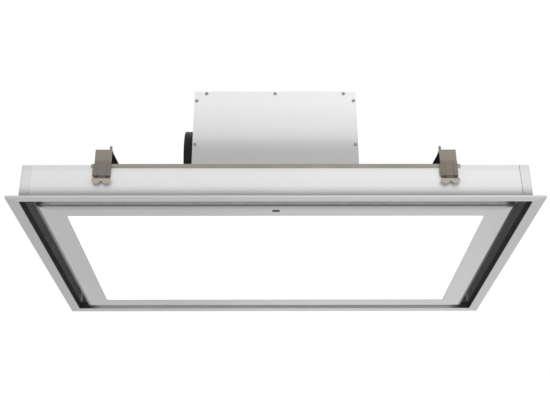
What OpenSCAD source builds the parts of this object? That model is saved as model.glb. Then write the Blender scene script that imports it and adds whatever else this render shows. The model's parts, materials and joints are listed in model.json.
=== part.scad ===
// Recessed ceiling range hood with perimeter extraction round a lit, hinged centre panel.
// Millimetres, +Z up. The long side lies along X and the front, with the sensor window, faces -Y.
// The origin is the middle of the rectangle that the trim frame rests on.

/* [Trim frame] */
// Length of the hood along X
hood_w = 1100; // [1040:10:1300]
// Depth of the hood along Y
hood_d = 700; // [680:10:800]
// Width of the flange at the two short ends
end_flange_w = 25; // [22:1:35]
// Width of the flange along the front and the back
side_flange_w = 21; // [19:1:30]
// Sheet thickness of the trim frame
trim_sheet = 1.5; // [1.2:0.1:2]
// Height of the turned-up outer edge
trim_lip_h = 4; // [3:0.5:6]
// Height of the upstand that stands inside the casing
upstand_h = 20; // [14:1:24]
// Outer corner radius of the trim frame
trim_corner_r = 4; // [3:0.5:8]

/* [Casing] */
// Height of the casing over the ceiling line
casing_h = 84; // [84:1:120]
// Sheet thickness of the casing and the motor box
casing_sheet = 1.2; // [1:0.1:1.5]
// Width of the turned-in flanges under the top plate
casing_flange_w = 15; // [12:1:20]
// Outer corner radius of the casing
casing_corner_r = 3; // [2.5:0.5:5]
// How far each end piece wraps onto the long sides
end_tab_w = 20; // [18:1:40]
// Width of the seam between an end piece and a long side
seam_gap = 0.8; // [0.5:0.1:1.2]
// Length of the joggled tongue behind each seam
tongue_w = 14; // [10:1:16]
// Distance of each rail end from the casing's end
rail_end_inset = 143.7; // [120:0.1:170]
// Sheet thickness of the rail
rail_sheet = 1.5; // [1.2:0.1:2]
// How far the rail hangs below the casing top
rail_drop = 7.5; // [5:0.5:10]
// How far the rail reaches in over the casing top
rail_reach = 28; // [20:1:40]

/* [Top openings] */
// Length of each of the two air openings under the blower
air_open_w = 300; // [240:5:330]
// Width of each air opening
air_open_d = 58; // [40:1:60]
// Width of the bridge between them, which carries the blower
bridge_d = 184; // [180:2:190]
// Distance of the hanger holes from the casing's ends
hanger_inset_x = 47.7; // [40:0.1:60]
// Distance of the hanger holes from the casing's front and back
hanger_inset_y = 51.7; // [46:0.1:60]
// Radius of a hanger hole
hanger_hole_r = 4.5; // [3.5:0.5:6]
// Side of the square stiffener round each hanger hole
hanger_plate_w = 44; // [36:1:50]
// Thickness of that stiffener
hanger_plate_t = 3; // [2:0.5:5]

/* [Filter support] */
// Height of the ledge that the filters rest on
ledge_z = 50; // [49.5:0.5:56]
// Width of the ledge at the two short ends
ledge_end_w = 55; // [45:1:70]
// Width of the ledge along front and back
ledge_side_w = 51; // [50:0.5:60]
// Width of the bars between the filters
field_bar_w = 24; // [20:1:30]
// Height of the rib on each bar
field_rib_h = 8; // [5:1:12]
// Height of the flange that fixes the ledge to the casing
ledge_flange_h = 13; // [8:1:18]

/* [Grease filters] */
// Height of a filter frame
filter_h = 9; // [8:0.5:14]
// How far a filter frame hangs below the ledge
filter_drop = 1.5; // [1.3:0.1:2]
// Sheet thickness of a filter frame
filter_sheet = 1.2; // [1:0.1:1.2]
// Width of a filter's rim at the sides and the back
filter_rim_w = 14; // [12:1:20]
// Width of a filter's front rim, which holds the latch
filter_front_rim_w = 26; // [25:1:34]
// How deep the mesh sits in the rim
mesh_seat = 6; // [5:0.5:6]
// Gap between a filter and the sides of its opening
filter_gap = 1.5; // [1:0.1:2]
// How far the back lip reaches over the ledge
filter_lip = 10; // [8:1:14]
// Number of pleats in a filter mesh
mesh_pleats = 18; // [8:1:24]
// Thickness of the pleated mesh
mesh_t = 1.4; // [1:0.1:2]
// Width of the latch tongue
latch_w = 30; // [20:1:40]
// Thickness of the latch tongue
latch_t = 2; // [1.5:0.1:2.4]
// Travel of the latch
latch_travel = 10; // [9:0.5:10]
// How far the latch reaches past the filter
latch_reach = 7.5; // [6:0.5:8.5]
// Radius of the latch's finger knob
latch_knob_r = 4; // [3:0.5:4]
// Length of the finger knob below the tongue
latch_knob_h = 8; // [6:0.5:12]

/* [Light panel] */
// Width of the air slots at the two short ends
end_slot_w = 27.5; // [22:0.5:35]
// Width of the air slots along front and back
side_slot_w = 20; // [18:0.5:26]
// Height of the panel's walls
panel_h = 21.5; // [20:0.5:21.5]
// How far the panel's face lies above the underside of the trim frame
panel_recess = 0.5; // [0.5:0.1:2]
// Sheet thickness of the panel
panel_sheet = 1.2; // [1:0.1:1.5]
// Width of the sloping lip round the panel
lip_w = 10; // [6:0.5:12]
// How far that lip rises towards the edge
lip_rise = 2.2; // [1:0.1:3]
// How far the panel's walls stand back from the lip
wall_setback = 2; // [1:0.1:3]
// Width of the metal border at the two short ends
border_end_w = 57.5; // [50:0.5:70]
// Width of the metal border along front and back
border_side_w = 51; // [46:0.5:60]
// Thickness of the opal diffuser
diffuser_t = 3; // [2:0.5:4]
// How far the diffuser laps over the border
diffuser_lap = 8; // [5:0.5:12]
// Number of LED boards
led_rows = 6; // [3:1:8]
// Number of LEDs on each board
led_columns = 14; // [6:1:18]
// Width of an LED board
led_board_w = 14; // [8:1:20]
// Thickness of an LED board
led_board_t = 1.6; // [1:0.1:2]
// Side of one LED
led_w = 5; // [3:0.5:6]
// Height of one LED
led_h = 1; // [0.8:0.1:2]

/* [Sensor] */
// Length of the sensor window
window_w = 16; // [12:0.5:24]
// Width of the sensor window
window_d = 10; // [8:0.5:12]
// Margin of the window's collar behind the border
window_collar = 2; // [1.5:0.1:3]
// Height of that collar
window_collar_h = 4; // [3:0.5:6]
// Length of the sensor board
sensor_board_w = 46; // [36:1:60]
// Width of the sensor board
sensor_board_d = 24; // [20:1:30]

/* [Panel hinges and catches] */
// Distance of each hinge and each catch from the panel's ends
hinge_end_inset = 117.5; // [90:0.5:140]
// Distance of the hinge axis from the panel's back edge
hinge_inset = 18; // [17:0.5:19]
// Height of the hinge axis over the panel's back
hinge_rise = 6; // [5.8:0.1:6.5]
// Radius of the hinge pin
hinge_pin_r = 2; // [1.5:0.1:2.4]
// Running clearance of the hinge pin
pin_clearance = 0.05; // [0.03:0.01:0.09]
// Outer radius of the hinge knuckles
knuckle_r = 4.4; // [4:0.1:4.4]
// Width of a hinge leaf
leaf_w = 36; // [24:1:50]
// Depth of a hinge leaf
leaf_d = 34; // [24:1:40]
// Thickness of the hinge sheet
hinge_sheet = 1.2; // [1:0.1:1.3]
// Thickness of each cheek of the fixed hinge bracket
cheek_t = 2; // [1.5:0.1:3]
// Length of a catch magnet
catch_w = 40; // [30:1:50]
// Depth of a catch magnet
catch_d = 16; // [12:1:20]
// Height of a catch magnet
catch_h = 9; // [7:0.5:12]
// Working gap between pieces on different bodies
work_gap = 0.4; // [0.3:0.05:0.5]

/* [Ceiling clamps] */
// Distance of each clamp from the end of its rail
clamp_end_inset = 24.5; // [21:0.5:40]
// Width of a clamp
clamp_w = 35; // [32:1:40]
// Sheet thickness of a clamp
clamp_sheet = 2; // [1.5:0.1:2.5]
// Height of a clamp's top over the ceiling line
clamp_top_z = 118; // [117:1:135]
// Height where a clamp's feet begin
clamp_shoulder_z = 48.5; // [46:0.5:52]
// Drop of the two feet below that height
clamp_foot_drop = 12.5; // [11:0.5:14]
// Radius of each foot
clamp_foot_r = 9.5; // [8:0.5:9.5]
// Width over both feet
clamp_feet_w = 40; // [38:0.5:42]
// How far the feet stand out from the plate
clamp_foot_step = 4; // [2:0.5:6]
// Height of the notches above the feet
clamp_notch_h = 7.5; // [5:0.5:9]
// Width of the neck between the notches
clamp_neck_w = 15; // [12:1:20]
// How far the lower plate widens on one side
clamp_ear_w = 2.5; // [1:0.5:4]
// Thickness of the doubler on the plate
clamp_doubler_t = 1; // [0.8:0.1:1.5]
// Height of that doubler
clamp_doubler_h = 36; // [30:1:40]
// Depth of a clamp's top plate
clamp_reach = 82; // [70:1:90]
// Gap between a clamp and the rail
clamp_gap = 0.8; // [0.5:0.1:1.5]
// Radius of a clamp bolt
clamp_bolt_r = 3; // [2.5:0.5:4]
// Height of a clamp bolt's tip
clamp_bolt_top_z = 167; // [150:1:175]
// Distance of the bolt from the back of the top plate
clamp_bolt_inset = 10; // [9:0.5:14]

/* [Motor box] */
// Length of the motor box along X
box_w = 384; // [380:2:420]
// Depth of the motor box along Y
box_d = 336; // [330:2:380]
// Height of the motor box's top over the ceiling line
box_top_z = 371; // [362:1:400]
// Width of the flanges behind the covers
box_flange_w = 14; // [12:1:18]
// Width of the feet on the casing top
box_foot_w = 14; // [10:1:20]
// Distance of the cover screws from the cover's edge
screw_inset = 6; // [5.5:0.5:7]
// Distance of the outer top screws from the middle
screw_top_x = 163; // [140:1:165]
// Depth of the three side screws below the top
screw_drops = [26, 145, 259];
// Radius of a cover screw's head
screw_head_r = 4; // [3:0.5:5]
// Height of a cover screw's head
screw_head_h = 2.2; // [1.5:0.1:3]
// Radius of a cover screw's shank
screw_shank_r = 1.9; // [1.5:0.1:2.4]
// Length of a cover screw's shank
screw_shank_h = 8; // [6:0.5:12]

/* [Outlet] */
// Outer radius of the outlet collar
collar_r = 75; // [62:0.5:76]
// Length of the outlet collar
collar_h = 30; // [28:1:50]
// Wall of the outlet collar
collar_wall = 1.6; // [1.2:0.1:2]
// Height of the collar's axis over the ceiling line
collar_z = 272; // [268:1:280]
// Width of the collar's fixing flange
collar_flange_w = 14; // [8:1:16]
// Thickness of the fixing flange
collar_flange_t = 2; // [1.5:0.1:3]
// Depth of the damper's pin inside the collar
damper_depth = 17; // [15:1:22]
// Thickness of a damper flap
flap_t = 1; // [0.8:0.1:1.2]
// Gap round the damper flaps
flap_gap = 1.5; // [1:0.1:2.5]
// Radius of the damper pin
damper_pin_r = 1.5; // [1.2:0.1:2]

/* [Blower] */
// Sideways place of the blower's axis
blower_x = 30; // [20:1:38]
// Height of the blower's axis over the ceiling line
blower_z = 200; // [198:1:204]
// Inner radius of the scroll at its tongue
scroll_r = 80; // [78:1:82]
// Growth of that radius from the tongue to the outlet
scroll_growth = 62; // [54:1:63]
// Angle of the tongue, counted from +X towards +Z
tongue_angle = 170; // [165:1:175]
// Inner width of the scroll
scroll_w = 130; // [124:1:132]
// Sheet thickness of the scroll
scroll_sheet = 1.2; // [1:0.1:1.5]
// Radius of the inlet
inlet_r = 60; // [56:1:60]
// Radius of the inlet's rolled edge
inlet_roll_r = 6; // [4:0.5:6]
// Outer radius of the impeller
impeller_r = 72; // [68:0.5:72]
// Width of the impeller
impeller_w = 112; // [100:1:112]
// Number of blades
blade_count = 36; // [20:1:44]
// Depth of a blade along the radius
blade_depth = 10; // [8:0.5:12]
// Radius of a blade's curve
blade_curve_r = 9; // [9:0.5:14]
// Thickness of a blade
blade_t = 0.8; // [0.6:0.1:1]
// Thickness of the impeller's disc and rings
disc_t = 1.6; // [1.2:0.1:2]
// Radius of the impeller's hub
hub_r = 13; // [10:1:18]
// Length of the hub
hub_h = 22; // [16:1:24]
// Radius of the motor shaft
shaft_r = 4; // [3:0.5:5]
// Radius of the motor
motor_r = 42; // [36:1:44]
// Length of the motor
motor_h = 60; // [54:1:60]
// Gap between the impeller's hub and the motor
motor_gap = 3; // [2:0.5:5]
// Outer radius of a bearing
bearing_r = 11; // [9:0.5:13]
// Width of a bearing
bearing_w = 7; // [5:0.5:9]
// Width of the arms that carry the motor
arm_w = 14; // [10:1:18]
// Number of those arms
arm_count = 3; // [3:1:5]
// Radius of the start capacitor
capacitor_r = 17; // [14:1:18]
// Height of the start capacitor
capacitor_h = 62; // [50:1:75]

/* [Control box] */
// Gap between the control box and the foot of the motor box
control_gap = 30; // [20:1:60]
// Length of the control box along X
control_w = 170; // [150:5:190]
// Depth of the control box along Y
control_d = 120; // [100:5:140]
// Height of the control box
control_h = 38; // [34:1:50]
// Sheet thickness of the control box
control_sheet = 1; // [0.8:0.1:1.2]
// Radius of the cable gland's bore
gland_bore_r = 4; // [3:0.5:5]
// Outer radius of the cable gland
gland_r = 9; // [8:0.5:11]
// How far the gland stands out of the box
gland_h = 22; // [16:1:26]

/* [Hidden] */

$fn = 48;
// Overrun of every cut
cut = 1;

// Opening of the trim frame and planes of the casing
open_x = hood_w / 2 - end_flange_w;
open_y = hood_d / 2 - side_flange_w;
case_in_x = open_x + trim_sheet;
case_in_y = open_y + trim_sheet;
case_x = case_in_x + casing_sheet;
case_y = case_in_y + casing_sheet;
case_inner_r = casing_corner_r - casing_sheet;
wall_top_z = casing_h - casing_sheet;
side_half_w = case_x - end_tab_w - seam_gap;
rail_w = 2 * (case_x - rail_end_inset);
hanger_x = case_x - hanger_inset_x;
hanger_y = case_y - hanger_inset_y;

// Places of the filters
ledge_low_z = ledge_z - casing_sheet;
field_x = open_x - ledge_end_w;
field_y = open_y - ledge_side_w;
bay_w = (2 * field_x - 2 * field_bar_w) / 3;
bay_step = bay_w + field_bar_w;
filter_z = ledge_z - filter_drop;
filter_w = bay_w - 2 * filter_gap;
filter_front_y = -field_y + filter_gap;
filter_back_y = field_y - filter_gap;
filter_d = filter_back_y - filter_front_y;

// Planes of the light panel, and its hinge axis
panel_w = 2 * (open_x - end_slot_w);
panel_d = 2 * (open_y - side_slot_w);
panel_top_z = panel_recess + panel_h;
face_top_z = panel_recess + panel_sheet;
tray_z = panel_top_z - panel_sheet;
diffuser_top_z = face_top_z + diffuser_t;
lit_w = panel_w - 2 * border_end_w;
lit_d = panel_d - 2 * border_side_w;
diffuser_w = lit_w + 2 * diffuser_lap;
diffuser_d = lit_d + 2 * diffuser_lap;
tray_w = panel_w - 2 * (wall_setback + panel_sheet);
tray_d = panel_d - 2 * (wall_setback + panel_sheet);
window_y = -panel_d / 2 + border_side_w / 2;
hinge_x = panel_w / 2 - hinge_end_inset;
hinge_y = panel_d / 2 - hinge_inset;
hinge_z = panel_top_z + hinge_rise;
catch_y = -hinge_y;

// Places on a clamp at the front left, with its plate outside the rail
clamp_x = rail_w / 2 - clamp_end_inset;
clamp_in_y = case_y + rail_sheet + clamp_gap;
clamp_out_y = clamp_in_y + clamp_sheet;
clamp_bolt_y = clamp_out_y - clamp_reach + clamp_bolt_inset;
clamp_hole_r = clamp_bolt_r + work_gap;

// Planes of the motor box
cover_t = casing_sheet;
box_in_x = box_w / 2 - casing_sheet;
shell_y = box_d / 2 - cover_t;
box_in_top_z = box_top_z - casing_sheet;
control_x = box_w / 2 + box_foot_w + control_gap + control_w / 2;

// Places of the blower, with its axis along Y
plate_y = scroll_w / 2;
plate_out_y = plate_y + scroll_sheet;
scroll_end_angle = 450;
spiral_steps = 56;
outlet_top_z = blower_z + scroll_r + scroll_growth;
outlet_low_z = blower_z + scroll_r * sin(tongue_angle);
tongue_x = blower_x + scroll_r * cos(tongue_angle);
motor_y = hub_h / 2 + motor_gap;
motor_back_y = motor_y + motor_h;

// A rectangle about the origin with round corners
module round_rect(w, d, r) {
    square([w - 2 * r, d], center = true);
    square([w, d - 2 * r], center = true);
    for (sx = [-1, 1], sy = [-1, 1])
        translate([sx * (w / 2 - r), sy * (d / 2 - r)]) circle(r);
}

// A box between two heights, centred on X and Y
module slab(w, d, z0, z1) {
    translate([-w / 2, -d / 2, z0]) cube([w, d, z1 - z0]);
}

// A rectangular tube between two heights
module frame_wall(w, d, wall, z0, z1) {
    difference() {
        slab(w, d, z0, z1);
        slab(w - 2 * wall, d - 2 * wall, z0 - cut, z1 + cut);
    }
}

// A cylinder along Y that starts at y0
module rod_y(r, y0, h) {
    translate([0, y0, 0]) rotate([-90, 0, 0]) cylinder(h = h, r = r);
}

// A cylinder along X that starts at x0
module rod_x(r, x0, h) {
    translate([x0, 0, 0]) rotate([0, 90, 0]) cylinder(h = h, r = r);
}

// Children drawn at the front and, mirrored, at the back
module front_and_back() {
    children();
    mirror([0, 1, 0]) children();
}

// Children drawn at the right and, mirrored, at the left
module left_and_right() {
    children();
    mirror([1, 0, 0]) children();
}

module trim_frame() {
    color("gainsboro") {
        linear_extrude(trim_sheet) difference() {
            round_rect(hood_w, hood_d, trim_corner_r);
            square([2 * open_x, 2 * open_y], center = true);
        }
        linear_extrude(trim_lip_h) difference() {
            round_rect(hood_w, hood_d, trim_corner_r);
            round_rect(hood_w - 2 * trim_sheet, hood_d - 2 * trim_sheet, trim_corner_r - trim_sheet);
        }
        linear_extrude(upstand_h) difference() {
            round_rect(2 * case_in_x, 2 * case_in_y, case_inner_r);
            square([2 * open_x, 2 * open_y], center = true);
        }
    }
}

// One long side: wall, turned-in flange and the joggled tongues behind the seams
module casing_side() {
    flange_z = wall_top_z - casing_sheet;
    tongue_low_z = upstand_h + seam_gap;
    translate([-side_half_w, -case_y, trim_sheet])
        cube([2 * side_half_w, casing_sheet, wall_top_z - trim_sheet]);
    translate([-side_half_w, -case_y, flange_z])
        cube([2 * side_half_w, casing_sheet + casing_flange_w, casing_sheet]);
    left_and_right()
        translate([side_half_w - tongue_w, -case_in_y, tongue_low_z])
            cube([2 * tongue_w, casing_sheet, flange_z - tongue_low_z]);
}

module casing_front() {
    color("silver") casing_side();
}

module casing_back() {
    color("silver") mirror([0, 1, 0]) casing_side();
}

// One end: its wall wraps round both corners onto the long sides
module casing_end() {
    flange_half_d = case_in_y - casing_flange_w - seam_gap;
    translate([0, 0, trim_sheet]) linear_extrude(wall_top_z - trim_sheet) intersection() {
        difference() {
            round_rect(2 * case_x, 2 * case_y, casing_corner_r);
            round_rect(2 * case_in_x, 2 * case_in_y, case_inner_r);
        }
        translate([case_x - end_tab_w, -case_y]) square([end_tab_w, 2 * case_y]);
    }
    translate([case_x - casing_sheet - casing_flange_w, -flange_half_d, wall_top_z - casing_sheet])
        cube([casing_sheet + casing_flange_w, 2 * flange_half_d, casing_sheet]);
}

module casing_left_end() {
    color("silver") mirror([1, 0, 0]) casing_end();
}

module casing_right_end() {
    color("silver") casing_end();
}

module casing_top() {
    color("silver") difference() {
        translate([0, 0, wall_top_z]) linear_extrude(casing_sheet)
            round_rect(2 * case_x, 2 * case_y, casing_corner_r);
        front_and_back() {
            translate([-air_open_w / 2, bridge_d / 2, wall_top_z - cut])
                cube([air_open_w, air_open_d, casing_sheet + 2 * cut]);
            left_and_right() {
                translate([clamp_x, clamp_bolt_y, wall_top_z - cut])
                    cylinder(h = casing_sheet + 2 * cut, r = clamp_hole_r);
                translate([hanger_x, hanger_y, wall_top_z - cut])
                    cylinder(h = casing_sheet + 2 * cut, r = hanger_hole_r);
            }
        }
    }
}

// An angle that lies on the casing's top edge, with one leg outside the wall
module rail() {
    translate([-rail_w / 2, -case_y - rail_sheet, casing_h - rail_drop])
        cube([rail_w, rail_sheet, rail_drop + rail_sheet]);
    translate([-rail_w / 2, -case_y - rail_sheet, casing_h])
        cube([rail_w, rail_sheet + rail_reach, rail_sheet]);
}

module rail_front() {
    color("tan") rail();
}

module rail_back() {
    color("tan") mirror([0, 1, 0]) rail();
}

// Stiffeners round the holes that the hood hangs by
module hanger_plates() {
    color("darkgray") front_and_back() left_and_right()
        translate([hanger_x, hanger_y, 0]) difference() {
            slab(hanger_plate_w, hanger_plate_w, casing_h, casing_h + hanger_plate_t);
            translate([0, 0, casing_h - cut])
                cylinder(h = hanger_plate_t + 2 * cut, r = hanger_hole_r);
        }
}

// The ledge with its three bays, held to the casing by turned-up flanges
module filter_support() {
    ledge_x = case_in_x - casing_sheet;
    ledge_y = case_in_y - casing_sheet;
    color("silver") {
        difference() {
            slab(2 * ledge_x, 2 * ledge_y, ledge_low_z, ledge_z);
            for (i = [-1:1])
                translate([i * bay_step, 0, 0])
                    slab(bay_w, 2 * field_y, ledge_low_z - cut, ledge_z + cut);
        }
        for (s = [-0.5, 0.5])
            translate([s * bay_step, 0, 0])
                slab(field_bar_w / 3, 2 * field_y, ledge_z - casing_sheet, ledge_z + field_rib_h);
        front_and_back()
            translate([-side_half_w + tongue_w + seam_gap, ledge_y, ledge_low_z])
                cube([2 * (side_half_w - tongue_w - seam_gap), casing_sheet, ledge_flange_h]);
        left_and_right()
            translate([ledge_x, -field_y, ledge_low_z])
                cube([casing_sheet, 2 * field_y, ledge_flange_h]);
    }
}

// Space that the mesh fills inside the rim, between two heights
module mesh_space(z0, z1) {
    x = filter_w / 2 - filter_rim_w + mesh_seat;
    y0 = filter_front_y + filter_front_rim_w - mesh_seat;
    y1 = filter_back_y - filter_rim_w + mesh_seat;
    translate([-x, y0, z0]) cube([2 * x, y1 - y0, z1 - z0]);
}

// A folded channel frame with a lip at the back and a slot for the latch at the front
module filter_frame(i) {
    slot_w = latch_w + 2 * work_gap;
    slot_low_z = filter_z + filter_sheet;
    slot_top_z = ledge_z + latch_t + 2 * work_gap;
    window_y0 = filter_front_y + filter_front_rim_w;
    window_y1 = filter_back_y - filter_rim_w;
    knob_y = filter_front_y + latch_knob_r + filter_sheet;
    translate([i * bay_step, 0, 0]) {
        difference() {
            translate([-filter_w / 2, filter_front_y, filter_z]) cube([filter_w, filter_d, filter_h]);
            translate([-filter_w / 2 + filter_rim_w, window_y0, filter_z - cut])
                cube([filter_w - 2 * filter_rim_w, window_y1 - window_y0, filter_h + 2 * cut]);
            mesh_space(filter_z + filter_sheet, filter_z + filter_h - filter_sheet);
            translate([-slot_w / 2, filter_front_y - cut, slot_low_z])
                cube([slot_w, filter_front_rim_w + cut, slot_top_z - slot_low_z]);
            translate([-latch_knob_r - work_gap, knob_y - latch_knob_r - work_gap, filter_z - cut])
                cube([
                    2 * (latch_knob_r + work_gap),
                    2 * (latch_knob_r + work_gap) + latch_travel,
                    filter_sheet + 2 * cut
                ]);
        }
        translate([-filter_w / 2, filter_back_y - filter_sheet, ledge_z])
            cube([filter_w, filter_gap + filter_lip + filter_sheet, filter_sheet]);
    }
}

module filter_frame_left() {
    color("lightgray") filter_frame(-1);
}

module filter_frame_middle() {
    color("lightgray") filter_frame(0);
}

module filter_frame_right() {
    color("lightgray") filter_frame(1);
}

// Pleated wire mesh, its folds running from front to back
module filter_mesh(i) {
    z0 = filter_z + filter_sheet;
    fold = filter_h - 2 * filter_sheet - mesh_t;
    w = filter_w - 2 * filter_rim_w + 2 * mesh_seat;
    y0 = filter_front_y + filter_front_rim_w - mesh_seat;
    y1 = filter_back_y - filter_rim_w + mesh_seat;
    steps = 2 * mesh_pleats;
    low = [for (k = [0:steps]) [k * w / steps - w / 2, (k % 2) * fold]];
    high = [for (k = [steps:-1:0]) [k * w / steps - w / 2, (k % 2) * fold + mesh_t]];
    translate([i * bay_step, y1, z0]) rotate([90, 0, 0])
        linear_extrude(y1 - y0) polygon(concat(low, high));
}

module filter_mesh_left() {
    color("darkgray") filter_mesh(-1);
}

module filter_mesh_middle() {
    color("darkgray") filter_mesh(0);
}

module filter_mesh_right() {
    color("darkgray") filter_mesh(1);
}

// A sprung tongue that rests on the ledge, with a finger knob below
module filter_latch(i) {
    z = ledge_z + work_gap;
    tail = filter_front_rim_w - mesh_seat - latch_travel - work_gap;
    knob_y = filter_front_y + latch_knob_r + filter_sheet;
    translate([i * bay_step, 0, 0]) {
        translate([-latch_w / 2, filter_front_y - latch_reach, z])
            cube([latch_w, latch_reach + tail, latch_t]);
        translate([0, knob_y, z - latch_knob_h])
            cylinder(h = latch_knob_h + latch_t / 2, r = latch_knob_r);
    }
}

module filter_latch_left() {
    color("dimgray") filter_latch(-1);
}

module filter_latch_middle() {
    color("dimgray") filter_latch(0);
}

module filter_latch_right() {
    color("dimgray") filter_latch(1);
}

// Section of the panel across one of its two directions
module panel_section(span, inset) {
    rim = inset > 0 ? wall_setback + inset : 0;
    wall = wall_setback + inset;
    top = inset > 0 ? panel_h + cut : panel_h;
    step_z = lip_rise + panel_sheet;
    half = [
        [span / 2 - lip_w - inset / 2, inset],
        [span / 2 - rim, lip_rise + (inset > 0 ? panel_sheet : 0)],
        [span / 2 - rim, step_z],
        [span / 2 - wall, step_z],
        [span / 2 - wall, top]
    ];
    polygon(concat(half, [for (k = [4:-1:0]) [-half[k][0], half[k][1]]]));
}

// Block with the panel's section in both directions, so that its corners are mitred
module panel_block(inset) {
    translate([0, 0, panel_recess]) intersection() {
        translate([0, panel_d / 2, 0]) rotate([90, 0, 0])
            linear_extrude(panel_d) panel_section(panel_w, inset);
        translate([-panel_w / 2, 0, 0]) rotate([90, 0, 90])
            linear_extrude(panel_w) panel_section(panel_d, inset);
    }
}

module window_outline(margin) {
    round_rect(window_w + 2 * margin, window_d + 2 * margin, window_d / 3);
}

module panel_frame() {
    color("gainsboro") difference() {
        panel_block(0);
        panel_block(panel_sheet);
        slab(lit_w, lit_d, panel_recess - cut, panel_top_z + cut);
        translate([0, window_y, panel_recess - cut])
            linear_extrude(panel_sheet + 2 * cut) window_outline(0);
    }
}

// Back of the light box, whose turned-down walls hold the diffuser
module light_tray() {
    color("white") {
        slab(tray_w, tray_d, tray_z, panel_top_z);
        frame_wall(diffuser_w, diffuser_d, panel_sheet, diffuser_top_z, panel_top_z);
    }
}

module diffuser() {
    color("white") slab(diffuser_w, diffuser_d, face_top_z, diffuser_top_z);
}

module led_boards() {
    board_w = lit_w - 2 * diffuser_lap;
    row_step = lit_d / led_rows;
    led_step = board_w / led_columns;
    color("lightyellow") for (row = [0:led_rows - 1])
        translate([0, (row - (led_rows - 1) / 2) * row_step, 0]) {
            slab(board_w, led_board_w, tray_z - led_board_t, tray_z);
            for (column = [0:led_columns - 1])
                translate([(column - (led_columns - 1) / 2) * led_step, 0, 0])
                    slab(led_w, led_w, tray_z - led_board_t - led_h, tray_z - led_board_t);
        }
}

// Dark window with a collar that seats behind the border
module sensor_window() {
    color("black") translate([0, window_y, 0]) {
        translate([0, 0, panel_recess]) linear_extrude(panel_sheet) window_outline(0);
        translate([0, 0, face_top_z]) linear_extrude(window_collar_h) window_outline(window_collar);
    }
}

// Receiver board on the window's collar
module sensor_board() {
    board_z = face_top_z + window_collar_h;
    chip_w = sensor_board_d / 3;
    color("darkgreen") translate([0, window_y, 0]) {
        slab(sensor_board_w, sensor_board_d, board_z, board_z + led_board_t);
        for (s = [-1, 1])
            translate([s * sensor_board_w / 4, 0, 0])
                slab(chip_w, chip_w, board_z + led_board_t, board_z + led_board_t + led_h);
    }
}

// The two moving leaves, each a plate on the panel's back with one knuckle
module hinge_leaves() {
    color("darkgray") left_and_right() translate([hinge_x, 0, 0]) difference() {
        union() {
            translate([-leaf_w / 2, hinge_y - leaf_d, panel_top_z]) cube([leaf_w, leaf_d, hinge_sheet]);
            translate([-leaf_w / 2, hinge_y - knuckle_r, panel_top_z])
                cube([leaf_w, knuckle_r, hinge_rise]);
            translate([0, hinge_y, hinge_z]) rod_x(knuckle_r, -leaf_w / 2, leaf_w);
        }
        translate([0, hinge_y, hinge_z])
            rod_x(hinge_pin_r + pin_clearance, -leaf_w / 2 - cut, leaf_w + 2 * cut);
    }
}

// The two fixed brackets under the ledge, with a cheek at each end of the knuckle
module hinge_brackets() {
    cheek_x = leaf_w / 2 + work_gap;
    base_w = 2 * (cheek_x + cheek_t);
    color("dimgray") left_and_right() translate([hinge_x, hinge_y, 0]) {
        translate([-base_w / 2, -2 * knuckle_r, ledge_low_z - hinge_sheet])
            cube([base_w, hinge_inset + 2 * knuckle_r, hinge_sheet]);
        for (x = [-cheek_x - cheek_t, cheek_x]) difference() {
            union() {
                translate([x, -2 * knuckle_r, hinge_z])
                    cube([cheek_t, 3 * knuckle_r, ledge_low_z - hinge_z]);
                translate([0, 0, hinge_z]) rod_x(knuckle_r, x, cheek_t);
            }
            translate([0, 0, hinge_z]) rod_x(hinge_pin_r, x - cut, cheek_t + 2 * cut);
        }
    }
}

module hinge_pins() {
    half = leaf_w / 2 + work_gap + cheek_t;
    color("silver") left_and_right() translate([hinge_x, hinge_y, hinge_z]) {
        rod_x(hinge_pin_r, -half - cheek_t / 2, 2 * half + cheek_t);
        rod_x((hinge_pin_r + knuckle_r) / 2, half, cheek_t / 2);
    }
}

// Straps that carry the magnets under the front ledge
module catch_brackets() {
    block_top_z = panel_top_z + hinge_sheet + work_gap + catch_h;
    color("dimgray") left_and_right() translate([hinge_x, catch_y, 0]) {
        slab(catch_w, catch_d, block_top_z, block_top_z + hinge_sheet);
        translate([-catch_w / 2, -catch_d / 2, block_top_z])
            cube([catch_w, hinge_sheet, ledge_low_z - block_top_z]);
        translate([-catch_w / 2, -catch_d / 2, ledge_low_z - hinge_sheet])
            cube([catch_w, catch_d, hinge_sheet]);
    }
}

module catch_magnets() {
    low_z = panel_top_z + hinge_sheet + work_gap;
    color("black") left_and_right() translate([hinge_x, catch_y, 0])
        slab(catch_w, catch_d, low_z, low_z + catch_h);
}

// Steel plates on the panel's back that the magnets hold
module strike_plates() {
    color("silver") left_and_right() translate([hinge_x, catch_y, 0])
        slab(catch_w, catch_d, panel_top_z, panel_top_z + hinge_sheet);
}

// Outline of a clamp's two feet, joined by a web, as X and Z
module clamp_feet() {
    low_z = clamp_shoulder_z - clamp_foot_drop;
    foot_x = clamp_feet_w / 2 - clamp_foot_r;
    foot_z = low_z + clamp_foot_r;
    intersection() {
        union() {
            for (s = [-1, 1]) translate([s * foot_x, foot_z]) circle(clamp_foot_r);
            translate([-foot_x, foot_z - clamp_foot_r / 3]) square([2 * foot_x, clamp_foot_r]);
        }
        translate([-clamp_feet_w / 2, low_z]) square([clamp_feet_w, clamp_foot_drop]);
    }
}

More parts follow.
